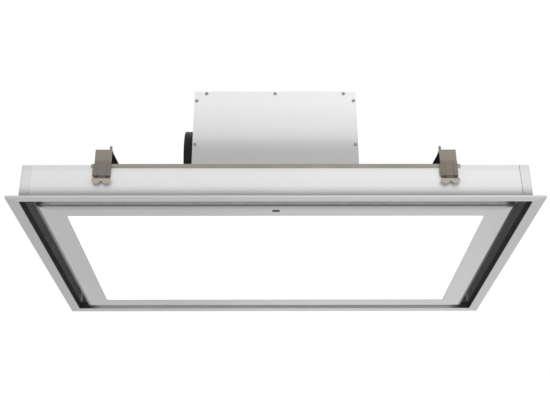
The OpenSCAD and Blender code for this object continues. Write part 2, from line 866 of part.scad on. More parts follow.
// An angle outside the rail: eared plate with a ribbed doubler, a neck that steps out
// to the two feet, and a top plate with a weld nut
module clamp() {
    neck_z = clamp_shoulder_z + clamp_notch_h;
    foot_out_y = clamp_out_y + clamp_foot_step;
    low_left_x = -clamp_w / 2 - clamp_ear_w;
    doubler_x = low_left_x + 2 * clamp_ear_w;
    doubler_out_y = clamp_out_y + clamp_doubler_t;
    nut_r = 2 * clamp_bolt_r;
    nut_h = 5 / 3 * clamp_bolt_r;
    difference() {
        union() {
            translate([-clamp_w / 2, -clamp_out_y, neck_z])
                cube([clamp_w, clamp_sheet, clamp_top_z - neck_z]);
            translate([low_left_x, -clamp_out_y, neck_z])
                cube([clamp_w, clamp_sheet, casing_h - neck_z]);
            translate([doubler_x, -doubler_out_y, neck_z])
                cube([clamp_w / 2 - doubler_x, clamp_doubler_t, clamp_doubler_h]);
            left_and_right()
                translate([clamp_w / 4, -doubler_out_y, neck_z])
                    cylinder(h = casing_h - neck_z, r = clamp_doubler_t);
            translate([-clamp_neck_w / 2, -clamp_out_y, clamp_shoulder_z - clamp_sheet])
                cube([clamp_neck_w, clamp_sheet, clamp_notch_h + clamp_sheet]);
            translate([-clamp_neck_w / 2, -foot_out_y, clamp_shoulder_z - clamp_sheet])
                cube([clamp_neck_w, clamp_foot_step + clamp_sheet, clamp_sheet]);
            translate([0, -foot_out_y + clamp_sheet, 0]) rotate([90, 0, 0])
                linear_extrude(clamp_sheet) clamp_feet();
            translate([-clamp_w / 2, -clamp_out_y, clamp_top_z - clamp_sheet])
                cube([clamp_w, clamp_reach, clamp_sheet]);
            translate([0, -clamp_bolt_y, clamp_top_z]) cylinder(h = nut_h, r = nut_r, $fn = 6);
        }
        translate([0, -clamp_bolt_y, clamp_top_z - clamp_sheet - cut])
            cylinder(h = clamp_sheet + nut_h + 2 * cut, r = clamp_hole_r);
    }
}

module clamp_front_left() {
    color("tan") translate([-clamp_x, 0, 0]) clamp();
}

module clamp_front_right() {
    color("tan") translate([clamp_x, 0, 0]) clamp();
}

module clamp_back_left() {
    color("tan") translate([-clamp_x, 0, 0]) rotate([0, 0, 180]) clamp();
}

module clamp_back_right() {
    color("tan") translate([clamp_x, 0, 0]) rotate([0, 0, 180]) clamp();
}

// Long bolts whose heads are turned from inside the hood
module clamp_bolts() {
    head_h = 4 / 3 * clamp_bolt_r;
    tip_h = clamp_bolt_r;
    color("dimgray") front_and_back() left_and_right() translate([clamp_x, clamp_bolt_y, 0]) {
        translate([0, 0, wall_top_z - head_h]) cylinder(h = head_h, r = 2 * clamp_bolt_r);
        translate([0, 0, wall_top_z - head_h])
            cylinder(h = clamp_bolt_top_z - tip_h - wall_top_z + head_h, r = clamp_bolt_r);
        translate([0, 0, clamp_bolt_top_z - tip_h])
            cylinder(h = tip_h, r1 = clamp_bolt_r, r2 = clamp_bolt_r / 2);
    }
}

// Push-on washers that keep the bolts in the casing top
module bolt_retainers() {
    color("gray") front_and_back() left_and_right() translate([clamp_x, clamp_bolt_y, casing_h])
        difference() {
            cylinder(h = clamp_bolt_r / 3, r = 3 * clamp_bolt_r);
            translate([0, 0, -cut]) cylinder(h = clamp_bolt_r / 3 + 2 * cut, r = clamp_bolt_r);
        }
}

// Places of the screws on a cover, as X and Z
screw_places = concat(
    [for (x = [-screw_top_x, 0, screw_top_x]) [x, box_top_z - screw_inset]],
    [for (s = [-1, 1], drop = screw_drops) [s * (box_w / 2 - screw_inset), box_top_z - drop]]
);

// Rods at every screw of the front cover
module screw_rods(r, y0, h) {
    for (place = screw_places) translate([place[0], 0, place[1]]) rod_y(r, y0, h);
}

// Left side, top and right side in one bent sheet, with flanges for the covers
module box_shell() {
    color("whitesmoke") difference() {
        union() {
            difference() {
                slab(box_w, 2 * shell_y, casing_h, box_top_z);
                slab(2 * box_in_x, 2 * (shell_y + cut), casing_h - cut, box_in_top_z);
            }
            front_and_back() translate([0, -shell_y, 0]) {
                left_and_right() translate([box_in_x - box_flange_w, 0, casing_h])
                    cube([box_flange_w, casing_sheet, box_in_top_z - casing_h]);
                translate([-box_in_x, 0, box_in_top_z - box_flange_w])
                    cube([2 * box_in_x, casing_sheet, box_flange_w]);
            }
            left_and_right() translate([box_w / 2, -shell_y, casing_h])
                cube([box_foot_w, 2 * shell_y, casing_sheet]);
        }
        front_and_back() screw_rods(screw_shank_r, -shell_y - cut, casing_sheet + 2 * cut);
        translate([0, 0, collar_z])
            rod_x(collar_r - collar_wall, -box_w / 2 - cut, casing_sheet + 2 * cut);
    }
}

module box_cover() {
    difference() {
        union() {
            translate([-box_w / 2, -box_d / 2, casing_h]) cube([box_w, cover_t, box_top_z - casing_h]);
            translate([-box_w / 2, -box_d / 2 - box_foot_w, casing_h])
                cube([box_w, box_foot_w, cover_t]);
        }
        screw_rods(screw_shank_r, -box_d / 2 - cut, cover_t + 2 * cut);
    }
}

module box_front_cover() {
    color("whitesmoke") box_cover();
}

module box_back_cover() {
    color("whitesmoke") mirror([0, 1, 0]) box_cover();
}

module cover_screws() {
    color("silver") front_and_back() {
        screw_rods(screw_shank_r, -box_d / 2, screw_shank_h);
        screw_rods(screw_head_r, -box_d / 2 - screw_head_h, screw_head_h);
    }
}

// Round duct collar with its fixing flange and two bosses for the damper pin
module outlet_collar() {
    start_x = -box_w / 2 - collar_h;
    bore_r = collar_r - collar_wall;
    boss_h = flap_gap + 2 * collar_wall;
    color([0.1, 0.1, 0.1]) translate([0, 0, collar_z]) difference() {
        union() {
            difference() {
                union() {
                    rod_x(collar_r, start_x, collar_h);
                    rod_x(collar_r + collar_flange_w, -box_w / 2 - collar_flange_t, collar_flange_t);
                }
                rod_x(bore_r, start_x - cut, collar_h + 2 * cut);
            }
            for (s = [-1, 1])
                translate([start_x + damper_depth, 0, s * (bore_r - boss_h / 2 + collar_wall / 2)])
                    cylinder(h = boss_h, r = 2 * damper_pin_r, center = true);
        }
        translate([start_x + damper_depth, 0, 0])
            cylinder(h = 2 * (bore_r - flap_gap / 2), r = damper_pin_r, center = true);
    }
}

module damper_pin() {
    color("silver") translate([-box_w / 2 - collar_h + damper_depth, 0, collar_z])
        cylinder(h = 2 * (collar_r - collar_wall - flap_gap / 2), r = damper_pin_r, center = true);
}

// A half disc on two knuckles, which start at the given share of the pin's length
module damper_flap(knuckle_shares) {
    flap_r = collar_r - collar_wall - flap_gap;
    turn_r = damper_pin_r + pin_clearance;
    wrap_r = damper_pin_r + flap_t;
    notch = wrap_r + work_gap;
    boss_room = flap_gap + 2 * collar_wall + work_gap;
    knuckle_h = flap_r / 4;
    difference() {
        union() {
            intersection() {
                rod_x(flap_r, -flap_t / 2, flap_t);
                translate([-flap_t / 2, -flap_r, -flap_r]) cube([flap_t, flap_r - notch, 2 * flap_r]);
            }
            for (share = knuckle_shares) translate([0, 0, share * flap_r]) {
                cylinder(h = knuckle_h, r = wrap_r);
                translate([-flap_t / 2, -2 * notch, 0]) cube([flap_t, 2 * notch, knuckle_h]);
            }
        }
        cylinder(h = 2 * flap_r + cut, r = turn_r, center = true);
        for (s = [-1, 1])
            translate([0, 0, s * (flap_r + flap_gap - boss_room / 2)])
                cube([flap_t + 2 * cut, 4 * damper_pin_r + 2 * work_gap, boss_room], center = true);
    }
}

// Knuckles of the front flap and, between them, of the back flap
front_knuckle_shares = [-0.8, 0.05];
back_knuckle_shares = [-0.5, 0.35];

module damper_flap_front() {
    color("dimgray") translate([-box_w / 2 - collar_h + damper_depth, 0, collar_z])
        damper_flap(front_knuckle_shares);
}

module damper_flap_back() {
    color("dimgray") translate([-box_w / 2 - collar_h + damper_depth, 0, collar_z])
        mirror([0, 1, 0]) damper_flap(back_knuckle_shares);
}

// Radius of the scroll at an angle, growing evenly from the tongue to the outlet
function scroll_radius(angle) =
    scroll_r + scroll_growth * (angle - tongue_angle) / (scroll_end_angle - tongue_angle);

// Points of the scroll about its axis, as X and Z, pushed out by a margin
function scroll_points(margin) = [
    for (k = [0:spiral_steps])
        let (angle = tongue_angle + k * (scroll_end_angle - tongue_angle) / spiral_steps)
            (scroll_radius(angle) + margin) * [cos(angle), sin(angle)]
];

// Outline of the scroll and its outlet, pushed out by a margin
module scroll_outline(margin) {
    end_x = -box_in_x - blower_x;
    low_z = outlet_low_z - blower_z - margin;
    polygon(concat(
        scroll_points(margin),
        [[end_x, outlet_top_z - blower_z + margin], [end_x, low_z]],
        margin > 0 ? [[tongue_x - blower_x - 2 * margin, low_z]] : []
    ));
}

// Drawn with X and Z as its plane, standing on the blower's axis
module on_blower(y0, h) {
    translate([blower_x, y0 + h, blower_z]) rotate([90, 0, 0]) linear_extrude(h) children();
}

// The spiral sheet with the walls of the outlet and a round tongue
module scroll_wall() {
    tongue_r = 2 * scroll_sheet;
    color("lightgray") {
        on_blower(-plate_y, scroll_w) difference() {
            scroll_outline(scroll_sheet);
            scroll_outline(0);
            translate([-box_in_x - blower_x - cut, outlet_low_z - blower_z])
                square([box_w / 4, outlet_top_z - outlet_low_z]);
        }
        translate([tongue_x - tongue_r, 0, outlet_low_z - tongue_r / 2]) rod_y(tongue_r, -plate_y, scroll_w);
    }
}

// A side plate with a rolled inlet and a seat for the arms
module scroll_plate() {
    color("lightgray") {
        on_blower(-plate_out_y, scroll_sheet) difference() {
            scroll_outline(scroll_sheet);
            circle(inlet_r + inlet_roll_r - scroll_sheet);
        }
        translate([blower_x, -plate_out_y, blower_z]) rotate([-90, 0, 0]) rotate_extrude()
            translate([inlet_r + inlet_roll_r, inlet_roll_r]) intersection() {
                difference() {
                    circle(inlet_roll_r);
                    circle(inlet_roll_r - scroll_sheet);
                }
                translate([-inlet_roll_r, -inlet_roll_r]) square(inlet_roll_r);
            }
    }
}

module scroll_front_plate() {
    scroll_plate();
}

module scroll_back_plate() {
    mirror([0, 1, 0]) scroll_plate();
}

// Angles between the side plates and the bridge of the casing top
module scroll_feet() {
    foot_w = 2 * box_foot_w;
    foot_h = blower_z - inlet_r - 2 * inlet_roll_r - casing_h;
    color("silver") front_and_back() for (s = [-1, 1])
        translate([blower_x + s * scroll_r / 2 - foot_w / 2, plate_out_y, casing_h]) {
            cube([foot_w, casing_sheet, foot_h]);
            cube([foot_w, box_foot_w, casing_sheet]);
        }
}

// Section of one forward-curved blade, an arc between two radii
module blade_section() {
    root_r = impeller_r - blade_depth;
    middle_r = impeller_r - blade_depth / 2;
    intersection() {
        translate([middle_r, -blade_curve_r * sin(60)]) difference() {
            circle(blade_curve_r);
            circle(blade_curve_r - blade_t);
        }
        difference() {
            circle(impeller_r - blade_t / 2);
            circle(root_r);
        }
        translate([root_r, -blade_depth / 2]) square([blade_depth, blade_depth]);
    }
}

// Double-inlet wheel: disc and hub in the middle, blades through it, a ring at each end
module impeller() {
    ring_w = blade_depth + blade_t;
    color("gainsboro") translate([blower_x, 0, blower_z]) rotate([90, 0, 0]) difference() {
        union() {
            cylinder(h = disc_t, r = impeller_r, center = true);
            cylinder(h = hub_h, r = hub_r, center = true);
            for (s = [-1, 1]) translate([0, 0, s * (impeller_w - disc_t) / 2]) difference() {
                cylinder(h = disc_t, r = impeller_r, center = true);
                cylinder(h = disc_t + 2 * cut, r = impeller_r - ring_w, center = true);
            }
            linear_extrude(impeller_w - disc_t, center = true)
                for (k = [0:blade_count - 1]) rotate(k * 360 / blade_count) blade_section();
        }
        cylinder(h = hub_h + 2 * cut, r = shaft_r, center = true);
    }
}

module motor_shaft() {
    color("silver") translate([blower_x, 0, blower_z])
        rod_y(shaft_r, -hub_h / 2 - shaft_r, motor_back_y - shaft_r + hub_h / 2);
}

// Motor can with stepped end bells, cooling slots and seats for the bearings
module motor() {
    bell_h = bearing_w;
    bell_r = motor_r * 0.72;
    slot_count = 12;
    color("dimgray") translate([blower_x, 0, blower_z]) difference() {
        union() {
            rod_y(motor_r, motor_y + bell_h, motor_h - 2 * bell_h);
            rod_y(bell_r, motor_y, motor_h);
        }
        rod_y(shaft_r + work_gap, motor_y - cut, motor_h + 2 * cut);
        rod_y(bearing_r, motor_y - cut, bearing_w + cut);
        rod_y(bearing_r, motor_back_y - bearing_w, bearing_w + cut);
        for (k = [0:slot_count - 1]) rotate([0, k * 360 / slot_count, 0])
            translate([motor_r - shaft_r / 2, motor_y + 2 * bell_h, -shaft_r / 2])
                cube([shaft_r, motor_h - 4 * bell_h, shaft_r]);
    }
}

module motor_bearings() {
    color("silver") translate([blower_x, 0, blower_z])
        for (y = [motor_y, motor_back_y - bearing_w]) difference() {
            rod_y(bearing_r, y, bearing_w);
            rod_y(shaft_r + pin_clearance, y - cut, bearing_w + 2 * cut);
        }
}

// Ring behind the motor with arms that stand on the back plate outside the inlet
module motor_bracket() {
    foot_r = inlet_r + inlet_roll_r + arm_w / 2;
    ring_r = motor_r * 0.72;
    rise = motor_back_y - plate_out_y;
    color("gray") translate([blower_x, 0, blower_z]) {
        difference() {
            rod_y(ring_r, motor_back_y, casing_sheet);
            rod_y(bearing_r - casing_sheet, motor_back_y - cut, casing_sheet + 2 * cut);
        }
        for (k = [0:arm_count - 1]) rotate([0, 90 + k * 360 / arm_count, 0]) {
            translate([bearing_r, motor_back_y, -arm_w / 2])
                cube([foot_r + arm_w / 2 - bearing_r, casing_sheet, arm_w]);
            translate([foot_r - arm_w / 2, plate_out_y, -arm_w / 2]) cube([arm_w, rise, arm_w]);
        }
    }
}

// Place of the capacitor beside the blower, against the right side of the motor box
capacitor_x = box_in_x - capacitor_r - casing_sheet;
capacitor_y = -(plate_out_y + shell_y) / 2;
capacitor_z = casing_h + capacitor_r;

module capacitor() {
    cap_h = capacitor_r / 3;
    color("lightgray") translate([capacitor_x, capacitor_y, capacitor_z]) {
        cylinder(h = capacitor_h, r = capacitor_r);
        translate([0, 0, capacitor_h]) cylinder(h = cap_h, r = capacitor_r * 0.8);
    }
}

module capacitor_clip() {
    clip_z = capacitor_z + capacitor_h / 3;
    color("silver") translate([capacitor_x, capacitor_y, clip_z]) difference() {
        union() {
            cylinder(h = capacitor_r, r = capacitor_r + casing_sheet);
            translate([0, -capacitor_r, 0])
                cube([capacitor_r + casing_sheet, 2 * capacitor_r, capacitor_r]);
        }
        translate([0, 0, -cut]) cylinder(h = capacitor_r + 2 * cut, r = capacitor_r);
    }
}

module control_box() {
    color("silver") translate([control_x, 0, 0]) {
        difference() {
            slab(control_w, control_d, casing_h, casing_h + control_h);
            slab(
                control_w - 2 * control_sheet, control_d - 2 * control_sheet,
                casing_h + control_sheet, casing_h + control_h + cut
            );
            translate([0, 0, casing_h + control_h / 2])
                rod_x(gland_r * 0.7, control_w / 2 - 2 * control_sheet, 3 * control_sheet);
        }
    }
}

module control_lid() {
    top_z = casing_h + control_h;
    lip = 2 * control_sheet;
    color("silver") translate([control_x, 0, 0]) {
        slab(control_w, control_d, top_z, top_z + control_sheet);
        frame_wall(
            control_w - 2 * control_sheet, control_d - 2 * control_sheet, control_sheet,
            top_z - lip, top_z + control_sheet
        );
    }
}

// Circuit board on its spacers, with the supply for the light and a terminal block
module control_board() {
    post_h = 4 * control_sheet;
    board_w = control_w - gland_h;
    board_d = control_d * 0.8;
    base_z = casing_h + control_sheet;
    board_z = base_z + post_h;
    part_z = board_z + led_board_t;
    part_h = (control_h - post_h) / 2;
    color("darkgreen") translate([control_x - gland_h / 4, 0, 0]) {
        for (sx = [-1, 1], sy = [-1, 1])
            translate([sx * (board_w / 2 - post_h), sy * (board_d / 2 - post_h), base_z])
                cylinder(h = post_h, r = post_h / 2);
        slab(board_w, board_d, board_z, part_z);
        translate([-board_w / 4, 0, 0]) slab(board_w / 3, board_d * 0.6, part_z, part_z + part_h);
        translate([board_w / 3, 0, 0]) slab(board_w / 8, board_d * 0.5, part_z, part_z + part_h * 0.8);
    }
}

// Gland body with its nut and domed cap, bored for the supply cable
module cable_gland() {
    wall_x = control_x + control_w / 2;
    nut_h = gland_h / 5;
    thread_r = gland_r * 0.7;
    color("dimgray") translate([0, 0, casing_h + control_h / 2]) difference() {
        union() {
            rod_x(thread_r, wall_x - nut_h - control_sheet, nut_h + 2 * control_sheet);
            translate([wall_x, 0, 0]) rotate([0, 90, 0]) cylinder(h = 2 * nut_h, r = gland_r, $fn = 6);
            rod_x(gland_r * 0.8, wall_x, 3.5 * nut_h);
            translate([wall_x + 3.5 * nut_h, 0, 0]) rotate([0, 90, 0])
                cylinder(h = 1.5 * nut_h, r1 = gland_r * 0.8, r2 = gland_bore_r + control_sheet);
        }
        rod_x(gland_bore_r, wall_x - gland_h, 3 * gland_h);
    }
}

trim_frame();
casing_front();
casing_back();
casing_left_end();
casing_right_end();
casing_top();
rail_front();
rail_back();
filter_support();
hanger_plates();
filter_frame_left();
filter_frame_middle();
filter_frame_right();
filter_mesh_left();
filter_mesh_middle();
filter_mesh_right();
filter_latch_left();
filter_latch_middle();
filter_latch_right();
panel_frame();
light_tray();
diffuser();
led_boards();
sensor_window();
sensor_board();
hinge_leaves();
hinge_brackets();
hinge_pins();
catch_brackets();
catch_magnets();
strike_plates();
clamp_front_left();
clamp_front_right();
clamp_back_left();
clamp_back_right();
clamp_bolts();
bolt_retainers();
box_shell();
box_front_cover();
box_back_cover();
cover_screws();
outlet_collar();
damper_flap_front();
damper_flap_back();
damper_pin();
scroll_wall();
scroll_front_plate();
scroll_back_plate();
scroll_feet();
impeller();
motor_shaft();
motor();
motor_bearings();
motor_bracket();
capacitor();
capacitor_clip();
control_box();
control_lid();
control_board();
cable_gland();
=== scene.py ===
"""Looks of a recessed ceiling range hood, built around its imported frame.

Metres, +Z up. The long side lies along X and the front, with the sensor window, faces -Y.
Classes that build pieces hold their sizes and places in millimetres, finishes in metres.
"""

import json
import logging
import math
from dataclasses import dataclass, replace
from enum import Enum
from typing import Any, Callable, Sequence, Union

import bmesh
import bpy
from mathutils import Matrix, Vector

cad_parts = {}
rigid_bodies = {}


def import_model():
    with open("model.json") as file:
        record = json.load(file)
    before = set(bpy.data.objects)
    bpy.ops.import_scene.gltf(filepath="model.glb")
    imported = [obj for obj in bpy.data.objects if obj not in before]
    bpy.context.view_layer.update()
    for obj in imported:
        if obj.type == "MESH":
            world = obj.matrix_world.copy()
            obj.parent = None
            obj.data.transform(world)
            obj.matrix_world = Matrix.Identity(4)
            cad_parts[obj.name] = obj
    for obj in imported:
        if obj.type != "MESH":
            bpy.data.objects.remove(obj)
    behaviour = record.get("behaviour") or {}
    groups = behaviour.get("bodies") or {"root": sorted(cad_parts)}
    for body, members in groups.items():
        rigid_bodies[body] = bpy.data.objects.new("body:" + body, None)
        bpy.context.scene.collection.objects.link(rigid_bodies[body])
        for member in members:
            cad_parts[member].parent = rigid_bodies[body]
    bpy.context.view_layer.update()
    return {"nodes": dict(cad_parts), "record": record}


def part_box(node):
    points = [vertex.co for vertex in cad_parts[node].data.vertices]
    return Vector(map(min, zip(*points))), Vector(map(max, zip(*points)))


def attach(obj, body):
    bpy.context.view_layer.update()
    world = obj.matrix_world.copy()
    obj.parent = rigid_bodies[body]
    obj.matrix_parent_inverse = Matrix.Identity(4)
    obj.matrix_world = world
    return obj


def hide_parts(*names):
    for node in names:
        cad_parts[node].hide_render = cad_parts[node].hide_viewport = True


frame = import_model()
MM = 0.001
WELD = 1e-6
LOG = logging.getLogger("hood")

Colour = tuple[float, float, float]
Triple = tuple[float, float, float]
Rgba = tuple[float, float, float, float]
Stops = Sequence[tuple[float, float]]
Sockets = dict[Union[int, str], Any]
Socket = bpy.types.NodeSocket
Material = bpy.types.Material
Piece = bpy.types.Object
BLACK: Rgba = (0.0, 0.0, 0.0, 1.0)
WHITE: Rgba = (1.0, 1.0, 1.0, 1.0)
UP: Triple = (0, 0, 1)
BODY_OF: dict[str, str] = {
    node: body for body, nodes in frame["record"]["behaviour"]["bodies"].items() for node in nodes
}


def linear(colour: Colour) -> Rgba:
    """Turns a colour as a screen shows it into scene-linear RGBA, by the sRGB curve.

    Args:
        colour: Red, green and blue from 0 to 1.

    Returns:
        The same colour for a shader's socket.
    """
    parts = (c / 12.92 if c <= 0.04045 else ((c + 0.055) / 1.055) ** 2.4 for c in colour)
    return (*parts, 1.0)


def grey(level: float) -> Rgba:
    """The scene-linear RGBA of a grey level as a screen shows it."""
    return linear((level,) * 3)


# ---- nodes


def plug(tree: bpy.types.NodeTree, socket: Socket, value: Any) -> None:
    """Links an output to an input, or sets the input to a constant.

    Args:
        tree: The tree of both.
        socket: The input.
        value: A wire, output, number, vector, colour or material.
    """
    if isinstance(value, Wire):
        value = value.socket
    if isinstance(value, Socket):
        tree.links.new(value, socket)
    else:
        socket.default_value = value


def add_node(
    tree: bpy.types.NodeTree, kind: str, sockets: Sockets | None = None, **settings: Any
) -> bpy.types.Node:
    """Adds a node to a tree.

    Args:
        tree: The tree.
        kind: The node's type.
        sockets: Values, outputs or wires of its inputs, by name or number.
        **settings: Its properties, and stops for a ramp's places and grey values.

    Returns:
        The node.
    """
    made = tree.nodes.new(kind)
    for key, value in settings.items():
        if key == "stops":
            elements = made.color_ramp.elements
            while len(elements) < len(value):
                elements.new(0.5)
            for element, (place, level) in zip(elements, value):
                element.position = place
                element.color = (level, level, level, 1.0)
        else:
            setattr(made, key, value)
    for key, value in (sockets or {}).items():
        plug(tree, made.inputs[key], value)
    return made


def math_method(operation: str, swap: bool = False) -> Callable[..., "Wire"]:
    """Makes a method of Wire that adds one Math node.

    Args:
        operation: The node's operation.
        swap: Whether the other value stands first in it.

    Returns:
        The method.
    """

    def method(self: "Wire", other: "Value" = 0.0) -> "Wire":
        """Adds the node over this value and the other."""
        first, second = (other, self) if swap else (self, other)
        return self.paint.node("ShaderNodeMath", {0: first, 1: second}, operation=operation)

    return method


class Wire:
    """A shader value that adds Math nodes where it stands in an expression."""

    def __init__(self, paint: "Paint", socket: Socket) -> None:
        """Keeps the socket and the paint that it belongs to."""
        self.paint = paint
        self.socket = socket

    __add__ = __radd__ = math_method("ADD")
    __sub__ = math_method("SUBTRACT")
    __rsub__ = math_method("SUBTRACT", swap=True)
    __mul__ = __rmul__ = math_method("MULTIPLY")
    __pow__ = math_method("POWER")
    __abs__ = math_method("ABSOLUTE")
    __gt__ = math_method("GREATER_THAN")
    __lt__ = math_method("LESS_THAN")


Value = Union[float, Wire]


def pick(first: Wire, second: Wire, mask: Wire) -> Wire:
    """The first value where the mask is 0 and the second where it is 1."""
    return first + (second - first) * mask


def varied(base: Value, *swings: tuple[float, Wire]) -> Value:
    """Lets a value swing about its base.

    Args:
        base: The value.
        *swings: A span each, and the noise from 0 to 1 that it follows.

    Returns:
        The swinging value.
    """
    for span, noise in swings:
        base = base + span * (noise - 0.5)
    return base


class Paint:
    """The node tree of one material, ending in a Principled shader."""

    mesh_pitch = 3.2 * MM
    mesh_wire = 0.42
    waver_reach = 2 * MM

    def __init__(self, name: str) -> None:
        """Starts an empty material.

        Args:
            name: Its name.
        """
        self.material = bpy.data.materials.new(name)
        self.material.use_nodes = True
        self.tree = self.material.node_tree
        self.tree.nodes.clear()
        output = add_node(self.tree, "ShaderNodeOutputMaterial")
        self.shader = add_node(self.tree, "ShaderNodeBsdfPrincipled")
        plug(self.tree, output.inputs[0], self.shader.outputs[0])

    def node(
        self, kind: str, sockets: Sockets | None = None, output: int = 0, **settings: Any
    ) -> Wire:
        """Adds any node, as add_node does, and returns one output."""
        return Wire(self, add_node(self.tree, kind, sockets, **settings).outputs[output])

    def place(self, scale: Triple = (1, 1, 1)) -> Wire:
        """Object coordinates, scaled along each axis."""
        coords = self.node("ShaderNodeTexCoord", output=3)
        return self.node("ShaderNodeMapping", {"Vector": coords, "Scale": scale})

    def axes(self) -> tuple[Wire, Wire, Wire]:
        """The object coordinates as three values."""
        split = add_node(self.tree, "ShaderNodeSeparateXYZ", {0: self.place()})
        return tuple(Wire(self, output) for output in split.outputs)

    def noise(
        self, where: Wire, scale: float, detail: float = 2.0, roughness: float = 0.5
    ) -> Wire:
        """Noise from 0 to 1 by its lumps per metre, octaves and the weight of finer ones."""
        sockets = {"Vector": where, "Scale": scale, "Detail": detail, "Roughness": roughness}
        return self.node("ShaderNodeTexNoise", sockets)

    def ramp(self, factor: Wire, stops: Stops) -> Wire:
        """A ramp over a value, by rising places and their grey levels."""
        return self.node("ShaderNodeValToRGB", {0: factor}, stops=stops)

    def screen_ramp(self, factor: Wire, stops: Stops) -> Wire:
        """A ramp over a value, with levels as a screen shows them."""
        return self.ramp(factor, [(place, grey(level)[0]) for place, level in stops])

    def blend(self, first: Any, second: Any, factor: Value) -> Wire:
        """Mixes two colours by the share of the second."""
        return self.node("ShaderNodeMix", {0: factor, 6: first, 7: second}, 2, data_type="RGBA")

    def dim(self, colour: Any, level: Value) -> Wire:
        """The colour where the level is 1, falling to black where it is 0."""
        return self.blend(BLACK, colour, level)

    def painted_shade_by_height(self, colour: Wire, levels: Stops, waver: Wire) -> Wire:
        """Paints shade on a colour by the height above the ceiling line.

        Args:
            colour: The colour where the level is 1.
            levels: Heights and grey levels, as a screen shows them, in rising order.
            waver: A value round 0 that shifts the heights a little.

        Returns:
            The colour.
        """
        top = levels[-1][0]
        height = self.axes()[2] + self.waver_reach * waver
        shares = [(place / top, level) for place, level in levels]
        return self.dim(colour, self.screen_ramp(height * (1 / top), shares))

    def meshed(self, colour: Wire, at_mesh: Wire, hole: float, wire: float) -> Wire:
        """Paints woven wire mesh, with painted shade in its holes, on upright faces along X.

        Args:
            colour: The colour elsewhere.
            at_mesh: Mask that is 1 where the mesh lies.
            hole: Grey level of its holes, painted shade of the dark space behind.
            wire: Grey level of its wires.

        Returns:
            The colour.
        """
        waves = [k * (math.pi / self.mesh_pitch) for k in self.axes()[1:]]
        strands = [abs(self.node("ShaderNodeMath", {0: k}, operation="SINE")) for k in waves]
        # The holes' grey is painted shade of the space behind the mesh.
        in_hole = (strands[0] > self.mesh_wire) * (strands[1] > self.mesh_wire)
        return self.blend(colour, self.blend(grey(hole), grey(wire), 1.0 - in_hole), at_mesh)

    def bump(self, height: Wire, depth: float, strength: float) -> Wire:
        """A normal from a height of 0 to 1, by its depth in metres and the share that shows."""
        sockets = {"Height": height, "Distance": depth, "Strength": strength}
        return self.node("ShaderNodeBump", sockets)

    def finish(self, **sockets: Any) -> Material:
        """Sets the Principled shader's sockets.

        Args:
            **sockets: Socket names, with _ for a space, and their wires or constants.

        Returns:
            The material.
        """
        for name, value in sockets.items():
            plug(self.tree, self.shader.inputs[name.replace("_", " ")], value)
        return self.material


# ---- finishes


class Grain(Enum):
    """Direction in which a sheet was rolled or brushed."""

    ALONG_X = (4.0, 700.0, 700.0)
    ALONG_Y = (700.0, 4.0, 700.0)
    ALONG_Z = (700.0, 700.0, 4.0)


MADE: dict[str, Material] = {}


@dataclass(frozen=True)
class Finish:
    """A plain finish with mottled tone and roughness."""

    name: str
    colour: Colour
    roughness: float = 0.4
    metallic: float = 0.0
    mottle: float = 0.06

    def material(self) -> Material:
        """Gives the finish's material, made once.

        Returns:
            The material.
        """
        if self.name not in MADE:
            MADE[self.name] = self.paint(Paint(self.name))
        return MADE[self.name]

    def worn(self) -> "Finish":
        """Makes the same finish, rubbed brighter and smoother, as on a bent edge.

        Returns:
            The worn finish.
        """
        lighter = tuple(min(1.0, c * 1.08 + 0.02) for c in self.colour)
        smoother = self.roughness * 0.8
        return replace(self, name=self.name + "_edge", colour=lighter, roughness=smoother)

    def tone(self, paint: Paint, share: Wire) -> Wire:
        """Mixes the colour, a little darker where the share falls.

        Args:
            paint: The material.
            share: A value from 0 to 1.

        Returns:
            The colour.
        """
        dark = linear(tuple(c * (1 - self.mottle) for c in self.colour))
        light = linear(tuple(min(1.0, c * (1 + self.mottle)) for c in self.colour))
        return paint.blend(dark, light, share)

    def paint(self, paint: Paint) -> Material:
        """Paints clouds and a fine skin.

        Args:
            paint: The empty material.

        Returns:
            The finished one.
        """
        cloud = paint.noise(paint.place(), scale=35.0, detail=3.0)
        speck = paint.noise(paint.place(), scale=900.0)
        return paint.finish(
            Base_Color=self.tone(paint, cloud),
            Metallic=self.metallic,
            Roughness=varied(self.roughness, (0.12, cloud)),
            Normal=paint.bump(speck, depth=0.05 * MM, strength=0.25),
        )


@dataclass(frozen=True)
class BrushedSteel(Finish):
    """Stainless sheet with brush lines, whose direction turns at mitred corners."""

    grain: Grain = Grain.ALONG_X
    mitre: tuple[float, float] | None = None
    metallic: float = 1.0
    roughness: float = 0.34
    mottle: float = 0.05

    def shade(self, paint: Paint, colour: Wire) -> Wire:
        """Hook for a finish whose tone changes over its sheet."""
        return colour

    def lines(self, paint: Paint, grain: Grain) -> Wire:
        """Brush lines along one direction."""
        return paint.noise(paint.place(grain.value), scale=1.0, detail=3.0, roughness=0.7)

    def paint(self, paint: Paint) -> Material:
        """Paints brush lines, faint hand marks and their roughness.

        Args:
            paint: The empty material.

        Returns:
            The finished one.
        """
        lines = self.lines(paint, self.grain)
        if self.mitre:
            x, y, _ = paint.axes()
            at_end = (abs(x) - self.mitre[0]) > (abs(y) - self.mitre[1])
            lines = pick(lines, self.lines(paint, Grain.ALONG_Y), at_end)
        marks = paint.noise(paint.place((1.0, 1.4, 1.0)), scale=9.0, detail=4.0, roughness=0.6)
        return paint.finish(
            Base_Color=self.shade(paint, self.tone(paint, 0.55 * lines + 0.45 * marks)),
            Metallic=self.metallic,
            Roughness=varied(self.roughness, (0.16, lines), (0.14, marks)),
            Normal=paint.bump(lines, depth=0.02 * MM, strength=0.35),
        )


